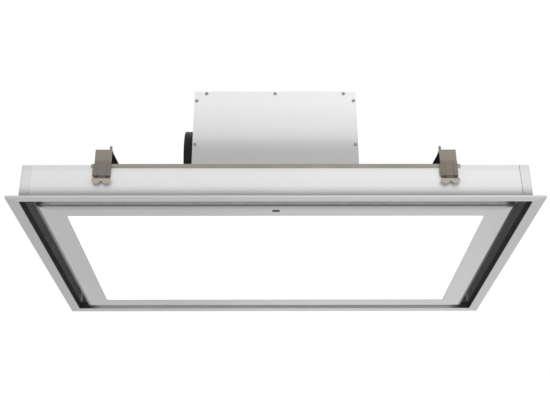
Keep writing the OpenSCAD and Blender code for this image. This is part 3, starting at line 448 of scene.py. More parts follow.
@dataclass(frozen=True)
class TrimSteel(BrushedSteel):
    """The trim frame's steel, with painted mesh, light and shade in its slots and on its ends."""

    edge_x: float = 0.5263
    side_y: float = 0.3288
    slack: float = 0.0005
    wall_z: float = 0.0012
    # Painted light on the long slots' walls, falling to painted shade over fade towards x = 0.5.
    shade_from_x: float = 0.500
    fade: float = 0.030
    walls: Stops = ((0.0, 0.09), (1.0, 0.93))
    # Painted shade on the flange's ends and the far slot; mesh: the end slots' hole and wire
    # greys.
    end_shade: float = 0.11
    far_shade: float = 0.24
    mesh: tuple[float, float] = (0.07, 0.40)

    def shade(self, paint: Paint, colour: Wire) -> Wire:
        """Paints light and shade on slot walls and flange ends; lays the mesh in the end slots.

        Args:
            paint: The material.
            colour: The brushed colour.

        Returns:
            The shaded colour.
        """
        x, y, z = paint.axes()
        in_slot = (abs(y) < self.side_y + self.slack) * (z > self.wall_z)
        on_ends = (abs(x) > self.edge_x) * (self.mitre[0] - abs(x) < self.mitre[1] - abs(y))
        # painted shade on the flange's ends
        colour = paint.dim(colour, 1.0 - self.end_shade * on_ends)
        # painted light on the long slots' walls, with painted shade at their ends and at the back
        level = paint.ramp((self.shade_from_x - abs(x)) * (1 / self.fade), self.walls)
        level = level * (1.0 - self.far_shade * (y > 0.0))
        colour = paint.blend(colour, paint.dim(WHITE, level), in_slot)
        # painted mesh in the end slots, with painted shade in its holes
        return paint.meshed(colour, (abs(x) < self.edge_x) * (abs(y) < self.side_y), *self.mesh)


@dataclass(frozen=True)
class PanelSteel(BrushedSteel):
    """Light-panel steel, with painted shade on its lip and corners, painted light on its walls."""

    half: tuple[float, float] = (0.4975, 0.309)
    reach: float = 0.024
    wall_z: float = 0.0031
    # Painted light on the walls above wall_z.
    wall: float = 0.96
    # Painted shade on the end lips, near black at their very edge.
    left: Stops = ((0.0, 0.03), (0.025, 0.03), (0.04, 0.60), (0.27, 0.70), (0.33, 1.0))
    right: Stops = ((0.0, 0.03), (0.18, 0.03), (0.20, 0.30), (0.26, 0.78), (0.33, 1.0))
    # Painted shade on the near lip; the far lip's is faint.
    near: Stops = ((0.0, 0.49), (0.20, 0.52), (0.26, 0.88), (0.70, 0.94), (1.0, 1.0))
    far: Stops = ((0.0, 0.96), (0.20, 0.94), (0.30, 1.0))
    # Painted shade near the ends, on the long sides' lip and on the walls.
    corner_shade_left: Stops = ((0.0, 0.42), (0.40, 0.46), (0.85, 1.0))
    corner_shade_right: Stops = ((0.0, 0.42), (0.50, 0.46), (1.0, 1.0))
    corner_shade_reach: float = 0.32

    def shade(self, paint: Paint, colour: Wire) -> Wire:
        """Paints shade on each side's lip by its distance from the edge, and light on the walls.

        Args:
            paint: The material.
            colour: The brushed colour.

        Returns:
            The shaded colour.
        """
        x, y, z = paint.axes()
        from_end = (self.half[0] - abs(x)) * (1 / self.reach)
        from_side = (self.half[1] - abs(y)) * (1 / self.reach)

        def level(distance: Wire, first: Stops, second: Stops, mask: Wire) -> Wire:
            """The shade of two facing sides."""
            ramps = [paint.screen_ramp(distance, stops) for stops in (first, second)]
            return pick(*ramps, mask)

        # painted shade on the lip, side by side, and near the ends
        ends = level(from_end, self.left, self.right, x > 0.0)
        sides = level(from_side, self.near, self.far, y > 0.0)
        corner = level(from_end, self.corner_shade_left, self.corner_shade_right, x > 0.0)
        sides = sides * (1.0 - (1.0 - corner) * (from_side < self.corner_shade_reach))
        lip = pick(sides, ends, from_end < from_side)
        # painted light on the walls, then painted shade on the lip and, near the ends, on the
        # walls
        walled = paint.blend(colour, grey(self.wall), z > self.wall_z)
        return paint.dim(walled, pick(lip, corner, z > self.wall_z))


@dataclass(frozen=True)
class ZincSheet(Finish):
    """Galvanised sheet: faint spangles, painted mesh, painted shade by height, on tongues, in a
    seam.
    """

    metallic: float = 0.45
    roughness: float = 0.42
    mottle: float = 0.015
    spangle: float = 90.0
    levels: Stops = ()
    mesh_x: float = 0.0
    mesh_slack: float = 0.0003
    mesh: tuple[float, float] = (0.25, 0.88)
    tongue: tuple[float, float] | None = None
    tongue_shade_grey: float = 0.42
    seam: tuple[float, float, float] | None = None
    seam_shade_grey: float = 0.10

    def paint(self, paint: Paint) -> Material:
        """Paints spangles, clouds, and painted shade by height, on hidden faces and in the seam.

        Args:
            paint: The empty material.

        Returns:
            The finished one.
        """
        sockets = {"Vector": paint.place(), "Scale": self.spangle}
        cells = paint.node("ShaderNodeTexVoronoi", sockets, 1)
        crystal = paint.node("ShaderNodeSeparateColor", {0: cells})
        cloud = paint.noise(paint.place((1.0, 1.0, 2.0)), scale=6.0, detail=4.0)
        colour = self.tone(paint, 0.4 * crystal + 0.6 * cloud)
        x, y, _ = paint.axes()
        # painted shade by height
        if self.levels:
            colour = paint.painted_shade_by_height(colour, self.levels, cloud - 0.5)
        # painted shade on the tongues' inner faces at both ends
        if self.tongue:
            shaded = (abs(x) > self.tongue[0]) * (abs(y) < self.tongue[1])
            colour = paint.blend(colour, grey(self.tongue_shade_grey), shaded)
        # painted mesh on the end walls' inner faces, with painted shade in its holes
        if self.mesh_x:
            at_mesh = abs(abs(x) - self.mesh_x) < self.mesh_slack
            colour = paint.meshed(colour, at_mesh, *self.mesh)
        # painted shade on the tongue behind the right end's open seam
        if self.seam:
            middle, half, face_y = self.seam
            in_seam = (abs(x - middle) < half) * (abs(y) < face_y)
            colour = paint.blend(colour, grey(self.seam_shade_grey), in_seam)
        skin = paint.noise(paint.place(), scale=240.0)
        return paint.finish(
            Base_Color=colour,
            Metallic=self.metallic,
            Roughness=varied(self.roughness, (0.09, crystal), (0.06, cloud)),
            Normal=paint.bump(skin, depth=0.04 * MM, strength=0.3),
        )


@dataclass(frozen=True)
class YellowZinc(Finish):
    """Yellow passivated zinc: straw and olive clouds over steel."""

    metallic: float = 0.8
    roughness: float = 0.46
    second: Colour = (0.56, 0.57, 0.50)
    levels: Stops = ()

    def paint(self, paint: Paint) -> Material:
        """Paints drifting straw and olive tones, fine scratches and any painted shade by height.

        Args:
            paint: The empty material.

        Returns:
            The finished one.
        """
        drift = paint.noise(paint.place((1.0, 2.0, 1.6)), scale=22.0, detail=4.0, roughness=0.6)
        scratch = paint.noise(paint.place((900.0, 900.0, 14.0)), scale=1.0)
        share = paint.ramp(drift, [(0.35, 0.0), (0.65, 1.0)])
        colour = paint.blend(linear(self.colour), linear(self.second), share)
        if self.levels:
            colour = paint.painted_shade_by_height(colour, self.levels, drift - 0.5)
        return paint.finish(
            Base_Color=colour,
            Metallic=self.metallic,
            Roughness=varied(self.roughness, (0.2, drift), (0.1, scratch)),
            Normal=paint.bump(scratch, depth=0.03 * MM, strength=0.3),
        )


@dataclass(frozen=True)
class MouldedPlastic(Finish):
    """Moulded plastic with a fine spark-eroded skin and scuffs."""

    roughness: float = 0.45
    skin: float = 700.0
    gloss: float = 0.22

    def paint(self, paint: Paint) -> Material:
        """Paints the skin and the scuffs.

        Args:
            paint: The empty material.

        Returns:
            The finished one.
        """
        skin = paint.noise(paint.place(), self.skin, detail=3.0)
        scuff = paint.noise(paint.place((1.0, 1.0, 3.0)), scale=40.0, detail=4.0, roughness=0.7)
        return paint.finish(
            Base_Color=self.tone(paint, scuff),
            Roughness=varied(self.roughness, (0.25, scuff)),
            Specular_IOR_Level=self.gloss,
            Normal=paint.bump(skin, depth=0.06 * MM, strength=0.4),
        )


@dataclass(frozen=True)
class LitOpal(Finish):
    """Opal acrylic, lit evenly from behind, a touch dimmer along its edge."""

    half: tuple[float, float] = (0.44, 0.258)
    edge_power: float = 40.0
    edge_grey: float = 0.93
    glow: float = 1.25

    def paint(self, paint: Paint) -> Material:
        """Paints the glow and the satin skin.

        Args:
            paint: The empty material.

        Returns:
            The finished one.
        """
        shares = [abs(k) * (1 / half) for k, half in zip(paint.axes(), self.half)]
        near = [share ** self.edge_power for share in shares]
        satin = paint.noise(paint.place(), scale=600.0)
        return paint.finish(
            Base_Color=linear(self.colour),
            Roughness=varied(self.roughness, (0.1, satin)),
            Emission_Color=paint.blend(WHITE, grey(self.edge_grey), near[0] + near[1]),
            Emission_Strength=self.glow,
            Normal=paint.bump(satin, depth=0.04 * MM, strength=0.2),
        )


@dataclass(frozen=True)
class PrintedBoard(Finish):
    """Circuit board with solder mask, copper tracks and white solder points."""

    tracks: Colour = (0.16, 0.42, 0.24)
    solder: Colour = (0.78, 0.78, 0.76)
    point: float = 0.22
    pitch: float = 260.0

    def paint(self, paint: Paint) -> Material:
        """Paints tracks and solder points over the mask.

        Args:
            paint: The empty material.

        Returns:
            The finished one.
        """
        grid = {"Vector": paint.place(), "Scale": self.pitch}
        bricks = {**grid, "Mortar Size": 0.06, "Brick Width": 1.7}
        track = paint.node("ShaderNodeTexBrick", bricks, 1, offset=0.37)
        dots = paint.node("ShaderNodeTexVoronoi", grid)
        colour = paint.blend(linear(self.colour), linear(self.tracks), track)
        return paint.finish(
            Base_Color=paint.blend(linear(self.solder), colour, dots > self.point),
            Roughness=0.3 + 0.3 * dots,
            Normal=paint.bump(track, depth=0.05 * MM, strength=0.5),
        )


TRIM_STEEL = TrimSteel("stainless_trim", (0.785,) * 3, mitre=(0.550, 0.350), metallic=0.55)
PANEL_STEEL = PanelSteel("stainless_panel", (0.785,) * 3, mitre=(0.4975, 0.309), metallic=0.55)
# Its levels paint shade: darker at the foot under the flange and a touch darker under the rail.
CASING_ZINC = ZincSheet(
    "zinc_casing", (0.895, 0.895, 0.897),
    mesh_x=0.5265, seam=(0.5073, 0.00055, 0.3313), tongue=(0.4935, 0.3300),
    levels=(
        (0.0, 0.54), (0.009, 0.58), (0.016, 0.71), (0.024, 0.88), (0.034, 0.985),
        (0.05, 1.0), (0.067, 1.0), (0.0715, 0.98), (0.0765, 0.97), (0.084, 0.97),
    ),
)
END_ZINC = replace(CASING_ZINC, name="zinc_casing_end", colour=(0.865, 0.865, 0.868))
TOP_ZINC = ZincSheet("zinc_casing_top", (0.90, 0.90, 0.903))
LID_ZINC = ZincSheet("zinc_control_box", (0.88, 0.88, 0.885))
# Its levels paint shade on the lower part of the box, above the casing.
BOX_ZINC = ZincSheet(
    "zinc_motor_box", (0.935,) * 3,
    levels=(
        (0.084, 0.76), (0.205, 0.775), (0.219, 0.80), (0.232, 0.84), (0.246, 0.90),
        (0.270, 0.945), (0.340, 1.0),
    ),
)
INNER_ZINC = ZincSheet("zinc_inside", (0.60, 0.60, 0.61), mottle=0.03, spangle=70.0)
SCROLL_ZINC = ZincSheet("zinc_blower", (0.74, 0.74, 0.75), mottle=0.03, spangle=55.0)
RAIL_ZINC = YellowZinc("yellow_zinc_rail", (0.605, 0.585, 0.555), second=(0.575, 0.57, 0.52))
# Its levels: painted shade in the recess over the feet; the plate darker below 91 mm than above,
# the feet nearly full bright.
CLAMP_ZINC = YellowZinc(
    "yellow_zinc_clamp", (0.72, 0.665, 0.60), second=(0.69, 0.67, 0.635), metallic=0.55,
    levels=(
        (0.036, 0.97), (0.0475, 0.97), (0.049, 0.58), (0.0555, 0.58), (0.0575, 0.69),
        (0.0905, 0.70), (0.0925, 0.78), (0.118, 0.80),
    ),
)
FILTER_ALLOY = BrushedSteel("filter_alloy", (0.72, 0.73, 0.74), 0.38, grain=Grain.ALONG_Y)
MESH_ALLOY = Finish("mesh_alloy", (0.50, 0.51, 0.52), 0.45, 0.9, 0.15)
WIRE_ALLOY = Finish("wire_alloy", (0.74, 0.75, 0.76), 0.32, 1.0, 0.08)
BLACK_PLASTIC = MouldedPlastic("black_plastic", (0.05, 0.05, 0.052))
# Dark rubber for the clamps' blocks, which stand in for shade under each clamp's top and over its
# feet.
SHADE_BLACK_RUBBER = MouldedPlastic("black_rubber", (0.02, 0.02, 0.02), 0.7, gloss=0.1)
SHADE_GREY_RUBBER = MouldedPlastic("grey_rubber", (0.40, 0.375, 0.365), 0.7, gloss=0.1)
GLAND_PLASTIC = MouldedPlastic("gland_plastic", (0.20, 0.20, 0.21))
MAGNET_PLASTIC = MouldedPlastic("magnet_plastic", (0.16, 0.15, 0.15))
TRAY_WHITE = Finish("tray_white", (0.93, 0.93, 0.92), 0.5, 0.0, 0.02)
OPAL = LitOpal("opal_diffuser", (0.95, 0.95, 0.94), 0.35)
LED_BOARD = Finish("led_board", (0.94, 0.93, 0.86), 0.4, 0.0, 0.03)
DARK_WINDOW = MouldedPlastic("dark_window", (0.045, 0.045, 0.05), 0.12, skin=200.0)
CIRCUIT = PrintedBoard("circuit_board", (0.07, 0.30, 0.16))
BRIGHT_STEEL = Finish("zinc_steel", (0.76, 0.77, 0.78), 0.3, 1.0, 0.06)
SCREW_STEEL = Finish("screw_steel", (0.61, 0.61, 0.62), 0.34, 1.0, 0.05)
DARK_STEEL = Finish("dark_steel", (0.42, 0.42, 0.43), 0.42, 0.9, 0.1)
FLAP_ALLOY = BrushedSteel("flap_alloy", (0.70, 0.71, 0.72), grain=Grain.ALONG_Z)
WHEEL_STEEL = BrushedSteel("wheel_steel", (0.78, 0.78, 0.79), grain=Grain.ALONG_Y)
MOTOR_CAST = Finish("motor_cast", (0.34, 0.35, 0.37), 0.55, 0.4, 0.1)
CAPACITOR_CAN = Finish("capacitor_can", (0.82, 0.82, 0.80), 0.35, 0.2, 0.04)
FLOOR_WHITE = Finish("floor_white", (0.97, 0.97, 0.97), 0.9, 0.0, 0.004)


# ---- pieces


def settle(piece: Piece, body: str, slot: str, *nodes: str) -> None:
    """Puts a finished piece on its body and hides the CAD nodes that it stands for.

    Args:
        piece: The piece, in its place.
        body: The CAD body that it moves with.
        slot: The record's material slot; not used.
        *nodes: CAD nodes that it stands for.
    """
    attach(piece, body)
    if nodes:
        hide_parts(*nodes)
    LOG.info("piece %s on %s: %d faces", piece.name, body, len(piece.data.polygons))


def piece_from(name: str, shape: bmesh.types.BMesh, *finishes: Finish) -> Piece:
    """Turns a bmesh into an object at the origin.

    Args:
        name: The piece's name.
        shape: Its mesh, which is freed.
        *finishes: Finishes of its material indices.

    Returns:
        The object.
    """
    mesh = bpy.data.meshes.new(name)
    shape.to_mesh(mesh)
    shape.free()
    for finish in finishes:
        mesh.materials.append(finish.material())
    piece = bpy.data.objects.new(name, mesh)
    bpy.context.scene.collection.objects.link(piece)
    return piece


def applied(piece: Piece) -> None:
    """Bakes a piece's modifiers into its mesh and removes them.

    Args:
        piece: The piece.
    """
    bpy.context.view_layer.update()
    shape = piece.evaluated_get(bpy.context.evaluated_depsgraph_get())
    mesh = bpy.data.meshes.new_from_object(shape)
    piece.modifiers.clear()
    old = piece.data
    piece.data = mesh
    bpy.data.meshes.remove(old)
    mesh.name = piece.name


def smooth_by_angle(piece: Piece, degrees: float) -> None:
    """Shades a piece smooth but for its sharp edges and the edges of its roundings.

    Args:
        piece: The piece.
        degrees: Edges sharper than this stay sharp.
    """
    shape = bmesh.new()
    shape.from_mesh(piece.data)
    for face in shape.faces:
        face.smooth = True
    for edge in shape.edges:
        kinds = {face.material_index for face in edge.link_faces}
        edge.smooth = len(kinds) == 1 and edge.calc_face_angle(math.pi) < math.radians(degrees)
    shape.to_mesh(piece.data)
    shape.free()


def rounded(node: str, width: float, finish: Finish) -> Piece:
    """Copies a CAD sheet part with edges that are rounded and rubbed bright.

    Args:
        node: The CAD node that the copy replaces.
        width: Width of the rounding in millimetres.
        finish: Its finish.

    Returns:
        The piece.
    """
    shape = bmesh.new()
    shape.from_mesh(frame["nodes"][node].data)
    bmesh.ops.remove_doubles(shape, verts=shape.verts, dist=WELD)
    flat = math.radians(0.2)
    bmesh.ops.dissolve_limit(shape, angle_limit=flat, verts=shape.verts, edges=shape.edges)
    bmesh.ops.recalc_face_normals(shape, faces=shape.faces)
    piece = piece_from(node + "_sheet", shape, finish, finish.worn())
    bevel = piece.modifiers.new("rounding", "BEVEL")
    bevel.width = width * MM
    bevel.segments = 2
    bevel.limit_method = "ANGLE"
    bevel.angle_limit = math.radians(40)
    bevel.material = 1
    applied(piece)
    smooth_by_angle(piece, 30.0)
    return piece


def dress(nodes: str, finish: Finish) -> None:
    """Gives CAD nodes that stay their finish.

    Args:
        nodes: The CAD nodes, with a space between two.
        finish: Their finish.
    """
    for node in nodes.split():
        mesh = frame["nodes"][node].data
        mesh.materials.clear()
        mesh.materials.append(finish.material())


def dress_sheets(nodes: str, width: float, finish: Finish, slot: str) -> None:
    """Replaces CAD sheet parts by rounded copies.

    Args:
        nodes: The CAD nodes, with a space between two.
        width: Width of the rounding in millimetres.
        finish: Their finish.
        slot: The record's material slot.
    """
    for node in nodes.split():
        settle(rounded(node, width, finish), BODY_OF[node], slot, node)


def lathe(profile: Stops, steps: int) -> bmesh.types.BMesh:
    """Turns a profile about Z.

    Args:
        profile: Radius and height in millimetres, from the low pole to the high one.
        steps: Faces round it.

    Returns:
        The closed mesh, in metres.
    """
    shape = bmesh.new()
    rings = []
    turns = [2 * math.pi * k / steps for k in range(steps)]
    for radius, height in ((r * MM, z * MM) for r, z in profile):
        places = [(radius * math.cos(t), radius * math.sin(t), height) for t in turns]
        if radius < WELD:
            places = [(0, 0, height)]
        rings.append([shape.verts.new(place) for place in places])
    for low, high in zip(rings, rings[1:]):
        for k in range(steps):
            corners = ((low, k), (low, k + 1), (high, k + 1), (high, k))
            shape.faces.new(list(dict.fromkeys(ring[n % len(ring)] for ring, n in corners)))
    bmesh.ops.recalc_face_normals(shape, faces=shape.faces)
    return shape


# ---- geometry nodes


class NodeShop:
    """Builds one Geometry Nodes tree and runs it on an object."""

    def __init__(self, name: str, **inputs: Sequence[str]) -> None:
        """Starts a tree.

        Args:
            name: The tree's name.
            **inputs: Labels of its inputs, under the kind of their sockets.
        """
        self.tree = bpy.data.node_groups.new(name, "GeometryNodeTree")
        self.ids: dict[str, str] = {}
        for kind, labels in {"Geometry": ["Geometry"], **inputs, "Material": ["Finish"]}.items():
            for label in labels:
                self.ids[label] = self.socket(label, "INPUT", kind)
        self.socket("Geometry", "OUTPUT", "Geometry")
        self.given = self.tree.nodes.new("NodeGroupInput")

    def socket(self, label: str, side: str, kind: str) -> str:
        """Adds a socket to the tree's interface.

        Args:
            label: Its name.
            side: INPUT or OUTPUT.
            kind: Its kind.

        Returns:
            Its identifier.
        """
        panel = self.tree.interface
        made = panel.new_socket(label, in_out=side, socket_type="NodeSocket" + kind)
        return made.identifier

    def size(self, label: str) -> Socket:
        """The socket of a named input."""
        return self.given.outputs[label]

    def add(
        self, kind: str, sockets: Sockets | None = None, output: int | str = 0, **settings: Any
    ) -> Socket:
        """Adds any node, as add_node does, and returns one output."""
        return add_node(self.tree, kind, sockets, **settings).outputs[output]

    def maths(self, operation: str, *values: Any) -> Socket:
        """Adds a Math node over values or sockets."""
        return self.add("ShaderNodeMath", dict(enumerate(values)), operation=operation)

    def tube(self, path: Socket, sides: int, radius: str) -> Socket:
        """Sweeps a small ring along a curve.

        Args:
            path: The curve.
            sides: Sides of the ring.
            radius: Label of the input with its radius.

        Returns:
            The closed mesh.
        """
        ring = {"Resolution": sides, "Radius": self.size(radius)}
        profile = self.add("GeometryNodeCurvePrimitiveCircle", ring, mode="RADIUS")
        sweep = {"Curve": path, "Profile Curve": profile, "Fill Caps": True}
        return self.add("GeometryNodeCurveToMesh", sweep)

    def close(self, kind: str, **sockets: Any) -> "NodeShop":
        """Adds a last node and ends the tree in real meshes with their finish.

        Args:
            kind: The last node's type.
            **sockets: Values or sockets of its inputs.

        Returns:
            The finished tree's shop.
        """
        real = self.add("GeometryNodeRealizeInstances", {0: self.add(kind, sockets)})
        coat = {"Geometry": real, "Material": self.size("Finish")}
        add_node(self.tree, "NodeGroupOutput", {0: self.add("GeometryNodeSetMaterial", coat)})
        return self

    def run(self, piece: Piece, finish: Finish, **sizes: Any) -> None:
        """Runs the tree on an object and keeps the result as its mesh.

        Args:
            piece: The object that carries the tree.
            finish: Finish of the result.
            **sizes: Values of the named inputs, with _ for a space.
        """
        modifier = piece.modifiers.new(self.tree.name, "NODES")
        modifier.node_group = self.tree
        for label, value in sizes.items():
            modifier[self.ids[label.replace("_", " ")]] = value
        modifier[self.ids["Finish"]] = finish.material()
        applied(piece)


def repeat_shop() -> NodeShop:
    """Makes the tree that sets one small part on every point, turned along the point's aim.

    Returns:
        The tree's shop, with the inputs Part, Turn and Seed.
    """
    shop = NodeShop("repeat_parts", Object=["Part"], Float=["Turn"], Int=["Seed"])
    aim = shop.add("GeometryNodeInputNamedAttribute", {"Name": "aim"}, data_type="FLOAT_VECTOR")
    lean = shop.add("FunctionNodeAlignRotationToVector", {"Vector": aim}, "Rotation", axis="Z")
    limits = {2: 0.0, 3: shop.size("Turn"), "Seed": shop.size("Seed")}
    spin = shop.add("FunctionNodeRandomValue", limits, 1, data_type="FLOAT")
    own = shop.add("FunctionNodeAxisAngleToRotation", {"Axis": UP, "Angle": spin})
    turn = shop.add("FunctionNodeRotateRotation", {0: lean, 1: own}, rotation_space="LOCAL")
    part = shop.add("GeometryNodeObjectInfo", {"Object": shop.size("Part")}, "Geometry")
    points = shop.size("Geometry")
    return shop.close("GeometryNodeInstanceOnPoints", Points=points, Instance=part, Rotation=turn)


def lattice_shop() -> NodeShop:
    """Makes the tree that weaves wires over the folds of a pleated filter.

    Returns:
        The tree's shop, with the filter's sizes as inputs.
    """
    shop = NodeShop(
        "filter_lattice", Float=["Width", "Depth", "Fold", "Wire Radius"],
        Int=["Pleats", "Cross Wires", "Long Wires"], Vector=["Place"],
    )
    width, depth, fold = (shop.size(k) for k in ("Width", "Depth", "Fold"))
    start_x = shop.maths("MULTIPLY", width, -0.5)
    start_y = shop.maths("MULTIPLY", depth, -0.5)
    folds = shop.maths("MULTIPLY", shop.size("Pleats"), 2.0)

    def vector(axis: str, value: Any) -> Socket:
        """A vector along one axis."""
        return shop.add("ShaderNodeCombineXYZ", {axis: value})

    def row(count: Any, start: Any, span: Any, axis: str) -> Socket:
        """Spreads points evenly along one axis.

        Args:
            count: How many.
            start: Where they start.
            span: How far they reach.
            axis: X or Y.

        Returns:
            The points.
        """
        step = vector(axis, shop.maths("DIVIDE", span, shop.maths("SUBTRACT", count, 1.0)))
        spread = {"Count": count, "Start Location": vector(axis, start), "Offset": step}
        return shop.add("GeometryNodeMeshLine", spread, mode="OFFSET")

    def on_folds(points: Socket) -> Socket:
        """Lifts points onto the zigzag of the pleats.

        Args:
            points: The points.

        Returns:
            The lifted points.
        """
        x = shop.add("ShaderNodeSeparateXYZ", {0: shop.add("GeometryNodeInputPosition")}, "X")
        share = shop.maths("DIVIDE", shop.maths("SUBTRACT", x, start_x), width)
        wave = shop.maths("PINGPONG", shop.maths("MULTIPLY", share, folds), 1.0)
        lift = vector("Z", shop.maths("MULTIPLY", wave, fold))
        return shop.add("GeometryNodeSetPosition", {"Geometry": points, "Offset": lift})

    zigzag = on_folds(row(shop.maths("ADD", folds, 1.0), start_x, width, "X"))
    straight = row(2, start_y, depth, "Y")
    across = row(shop.size("Cross Wires"), start_y, depth, "Y")
    along = on_folds(row(shop.size("Long Wires"), start_x, width, "X"))
    both = add_node(shop.tree, "GeometryNodeJoinGeometry")
    for points, wire in ((across, zigzag), (along, straight)):
        wires = shop.add("GeometryNodeInstanceOnPoints", {"Points": points, "Instance": wire})
        real = shop.add("GeometryNodeRealizeInstances", {0: wires})
        path = shop.add("GeometryNodeMeshToCurve", {0: real})
        plug(shop.tree, both.inputs[0], shop.tube(path, 4, "Wire Radius"))
    place = shop.size("Place")
    return shop.close("GeometryNodeTransform", Geometry=both.outputs[0], Translation=place)


def thread_shop() -> NodeShop:
    """Makes the tree that winds a ridge round every point, for the threads of bolts.

    Returns:
        The tree's shop, with the thread's sizes as inputs.
    """
    shop = NodeShop("bolt_threads", Float=["Turns", "Radius", "Length", "Ridge"])
    radius = shop.size("Radius")
    coil = shop.add("GeometryNodeCurveSpiral", {
        "Resolution": 16, "Rotations": shop.size("Turns"), "Start Radius": radius,
        "End Radius": radius, "Height": shop.size("Length"),
    })
    points, ridge = shop.size("Geometry"), shop.tube(coil, 3, "Ridge")
    return shop.close("GeometryNodeInstanceOnPoints", Points=points, Instance=ridge)


def points_piece(name: str, places: Sequence[Triple], aims: Sequence[Triple]) -> Piece:
    """Makes an object of loose points with an aim each, for the trees to work on.

    Args:
        name: Its name.
        places: Points in millimetres.
        aims: The direction in which the part on each point faces.

    Returns:
        The object.
    """
    shape = bmesh.new()
    layer = shape.verts.layers.float_vector.new("aim")
    for place, aim in zip(places, aims):
        shape.verts.new([c * MM for c in place])[layer] = aim
    return piece_from(name, shape)


@dataclass
class Copies:
    """Copies of a small part as one piece, each turned at random about its own axis."""

    name: str
    source: Piece
    places: Sequence[Triple]
    aims: Sequence[Triple]
    finish: Finish
    seed: int
    turn: float = math.pi
    sharp: float = 40.0

    def build(self) -> Piece:
        """Sets the copies and removes the source.

        Returns:
            The piece.
        """
        piece = points_piece(self.name, self.places, self.aims)
        repeat_shop().run(piece, self.finish, Part=self.source, Turn=self.turn, Seed=self.seed)
        bpy.data.objects.remove(self.source)
        smooth_by_angle(piece, self.sharp)
        return piece


PAN_DOME: Stops = (
    (0.5, 0), (0.96, 0), (1, 0.12), (1, 0.35), (0.95, 0.6), (0.82, 0.84), (0.6, 0.96),
    (0.3, 1), (0, 1),
)
RIVET_DOME: Stops = (
    (0.5, 0), (1, 0), (0.96, 0.35), (0.75, 0.8), (0.42, 1), (0.32, 0.9), (0.3, 0.5), (0, 0.45),
)


class Fastener(Enum):
    """Small fasteners: their head's radius, height and foot in millimetres."""

    RIVET = (3.2, 1.0, 1.2)
    SMALL_RIVET = (2.4, 0.8, 1.2)
    SCREW = (3.0, 1.7, 2.4)
    COVER_SCREW = (4.0, 2.2, 3.5)

    def head(self) -> Piece:
        """Makes one head, facing +Z from its seat at zero, with a cross recess in screws.

        Returns:
            The source object, which the caller removes.
        """
        radius, height, foot = self.value
        is_screw = "SCREW" in self.name
        outline, steps = (PAN_DOME, 28) if is_screw else (RIVET_DOME, 20)
        profile = [(0, -foot), (radius * 0.5, -foot)]
        profile += [(radius * across, height * up) for across, up in outline]
        piece = piece_from(self.name.lower() + "_source", lathe(profile, steps), BRIGHT_STEEL)
        if is_screw:
            cut_cross(piece, radius * MM, height * MM)
        return piece


def cut_cross(head: Piece, radius: float, height: float) -> None:
    """Cuts a cross recess, which narrows downwards, into a head.

    Args:
        head: The head.
        radius: Its radius in metres.
        height: Its height.
    """
    tool = bmesh.new()
    for turn in (0.0, math.pi / 2):
        made = bmesh.ops.create_cube(tool, size=1.0)["verts"]
        for v in made:
            along, wide, level = (0.55, 0.14, 0.42) if v.co.z < 0 else (1.15, 0.26, 1.2)
            v.co = (v.co.x * radius * along, v.co.y * radius * wide, height * level)
        bmesh.ops.rotate(tool, verts=made, matrix=Matrix.Rotation(turn, 3, "Z"))
    cutter = piece_from("recess", tool)
    cut = head.modifiers.new("recess", "BOOLEAN")
    cut.object = cutter
    cut.solver = "EXACT"
    cut.use_self = True
    applied(head)
    bpy.data.objects.remove(cutter)


def left_right(*spots: Triple) -> tuple[Triple, ...]:
    """Mirrors places to the left and right."""
    return tuple((side * x, y, z) for x, y, z in spots for side in (-1, 1))


def both_ways(*spots: Triple) -> tuple[Triple, ...]:
    """Mirrors places to the left and right and to the front and back, each once."""
    mirrored = ((sx * x, sy * y, z) for x, y, z in spots for sx in (-1, 1) for sy in (-1, 1))
    return tuple(dict.fromkeys(mirrored))


# ---- sub-assemblies


SheetRows = tuple[tuple[str, float, Finish, str], ...]
PlainRows = tuple[tuple[str, Finish], ...]


@dataclass
class SubAssembly:
    """CAD nodes that become rounded sheets (nodes, rounding, finish, slot) or stay plain."""

    sheets: SheetRows = ()
    plain: PlainRows = ()

    def build(self) -> None:
        """Builds the rounded sheets and dresses the nodes that stay."""
        for sheet in self.sheets:
            dress_sheets(*sheet)
        for part in self.plain:
            dress(*part)


@dataclass
class TrimFrame(SubAssembly):
    """The flange round the ceiling opening, with soft, bright bends."""

    sheets: SheetRows = (("trim_frame", 0.7, TRIM_STEEL, "stainless"),)


@dataclass
class Casing(SubAssembly):
    """The low casing with its rails, stiffeners and filter ledge."""

    sheets: SheetRows = (
        ("casing_front casing_back", 0.35, CASING_ZINC, "galvanised"),
        ("casing_left_end casing_right_end", 0.35, END_ZINC, "galvanised"),
        ("casing_top", 0.35, TOP_ZINC, "galvanised"),
        ("rail_front rail_back", 0.35, RAIL_ZINC, "yellow_zinc"),
        ("filter_support hanger_plates", 0.35, INNER_ZINC, "galvanised"),
    )


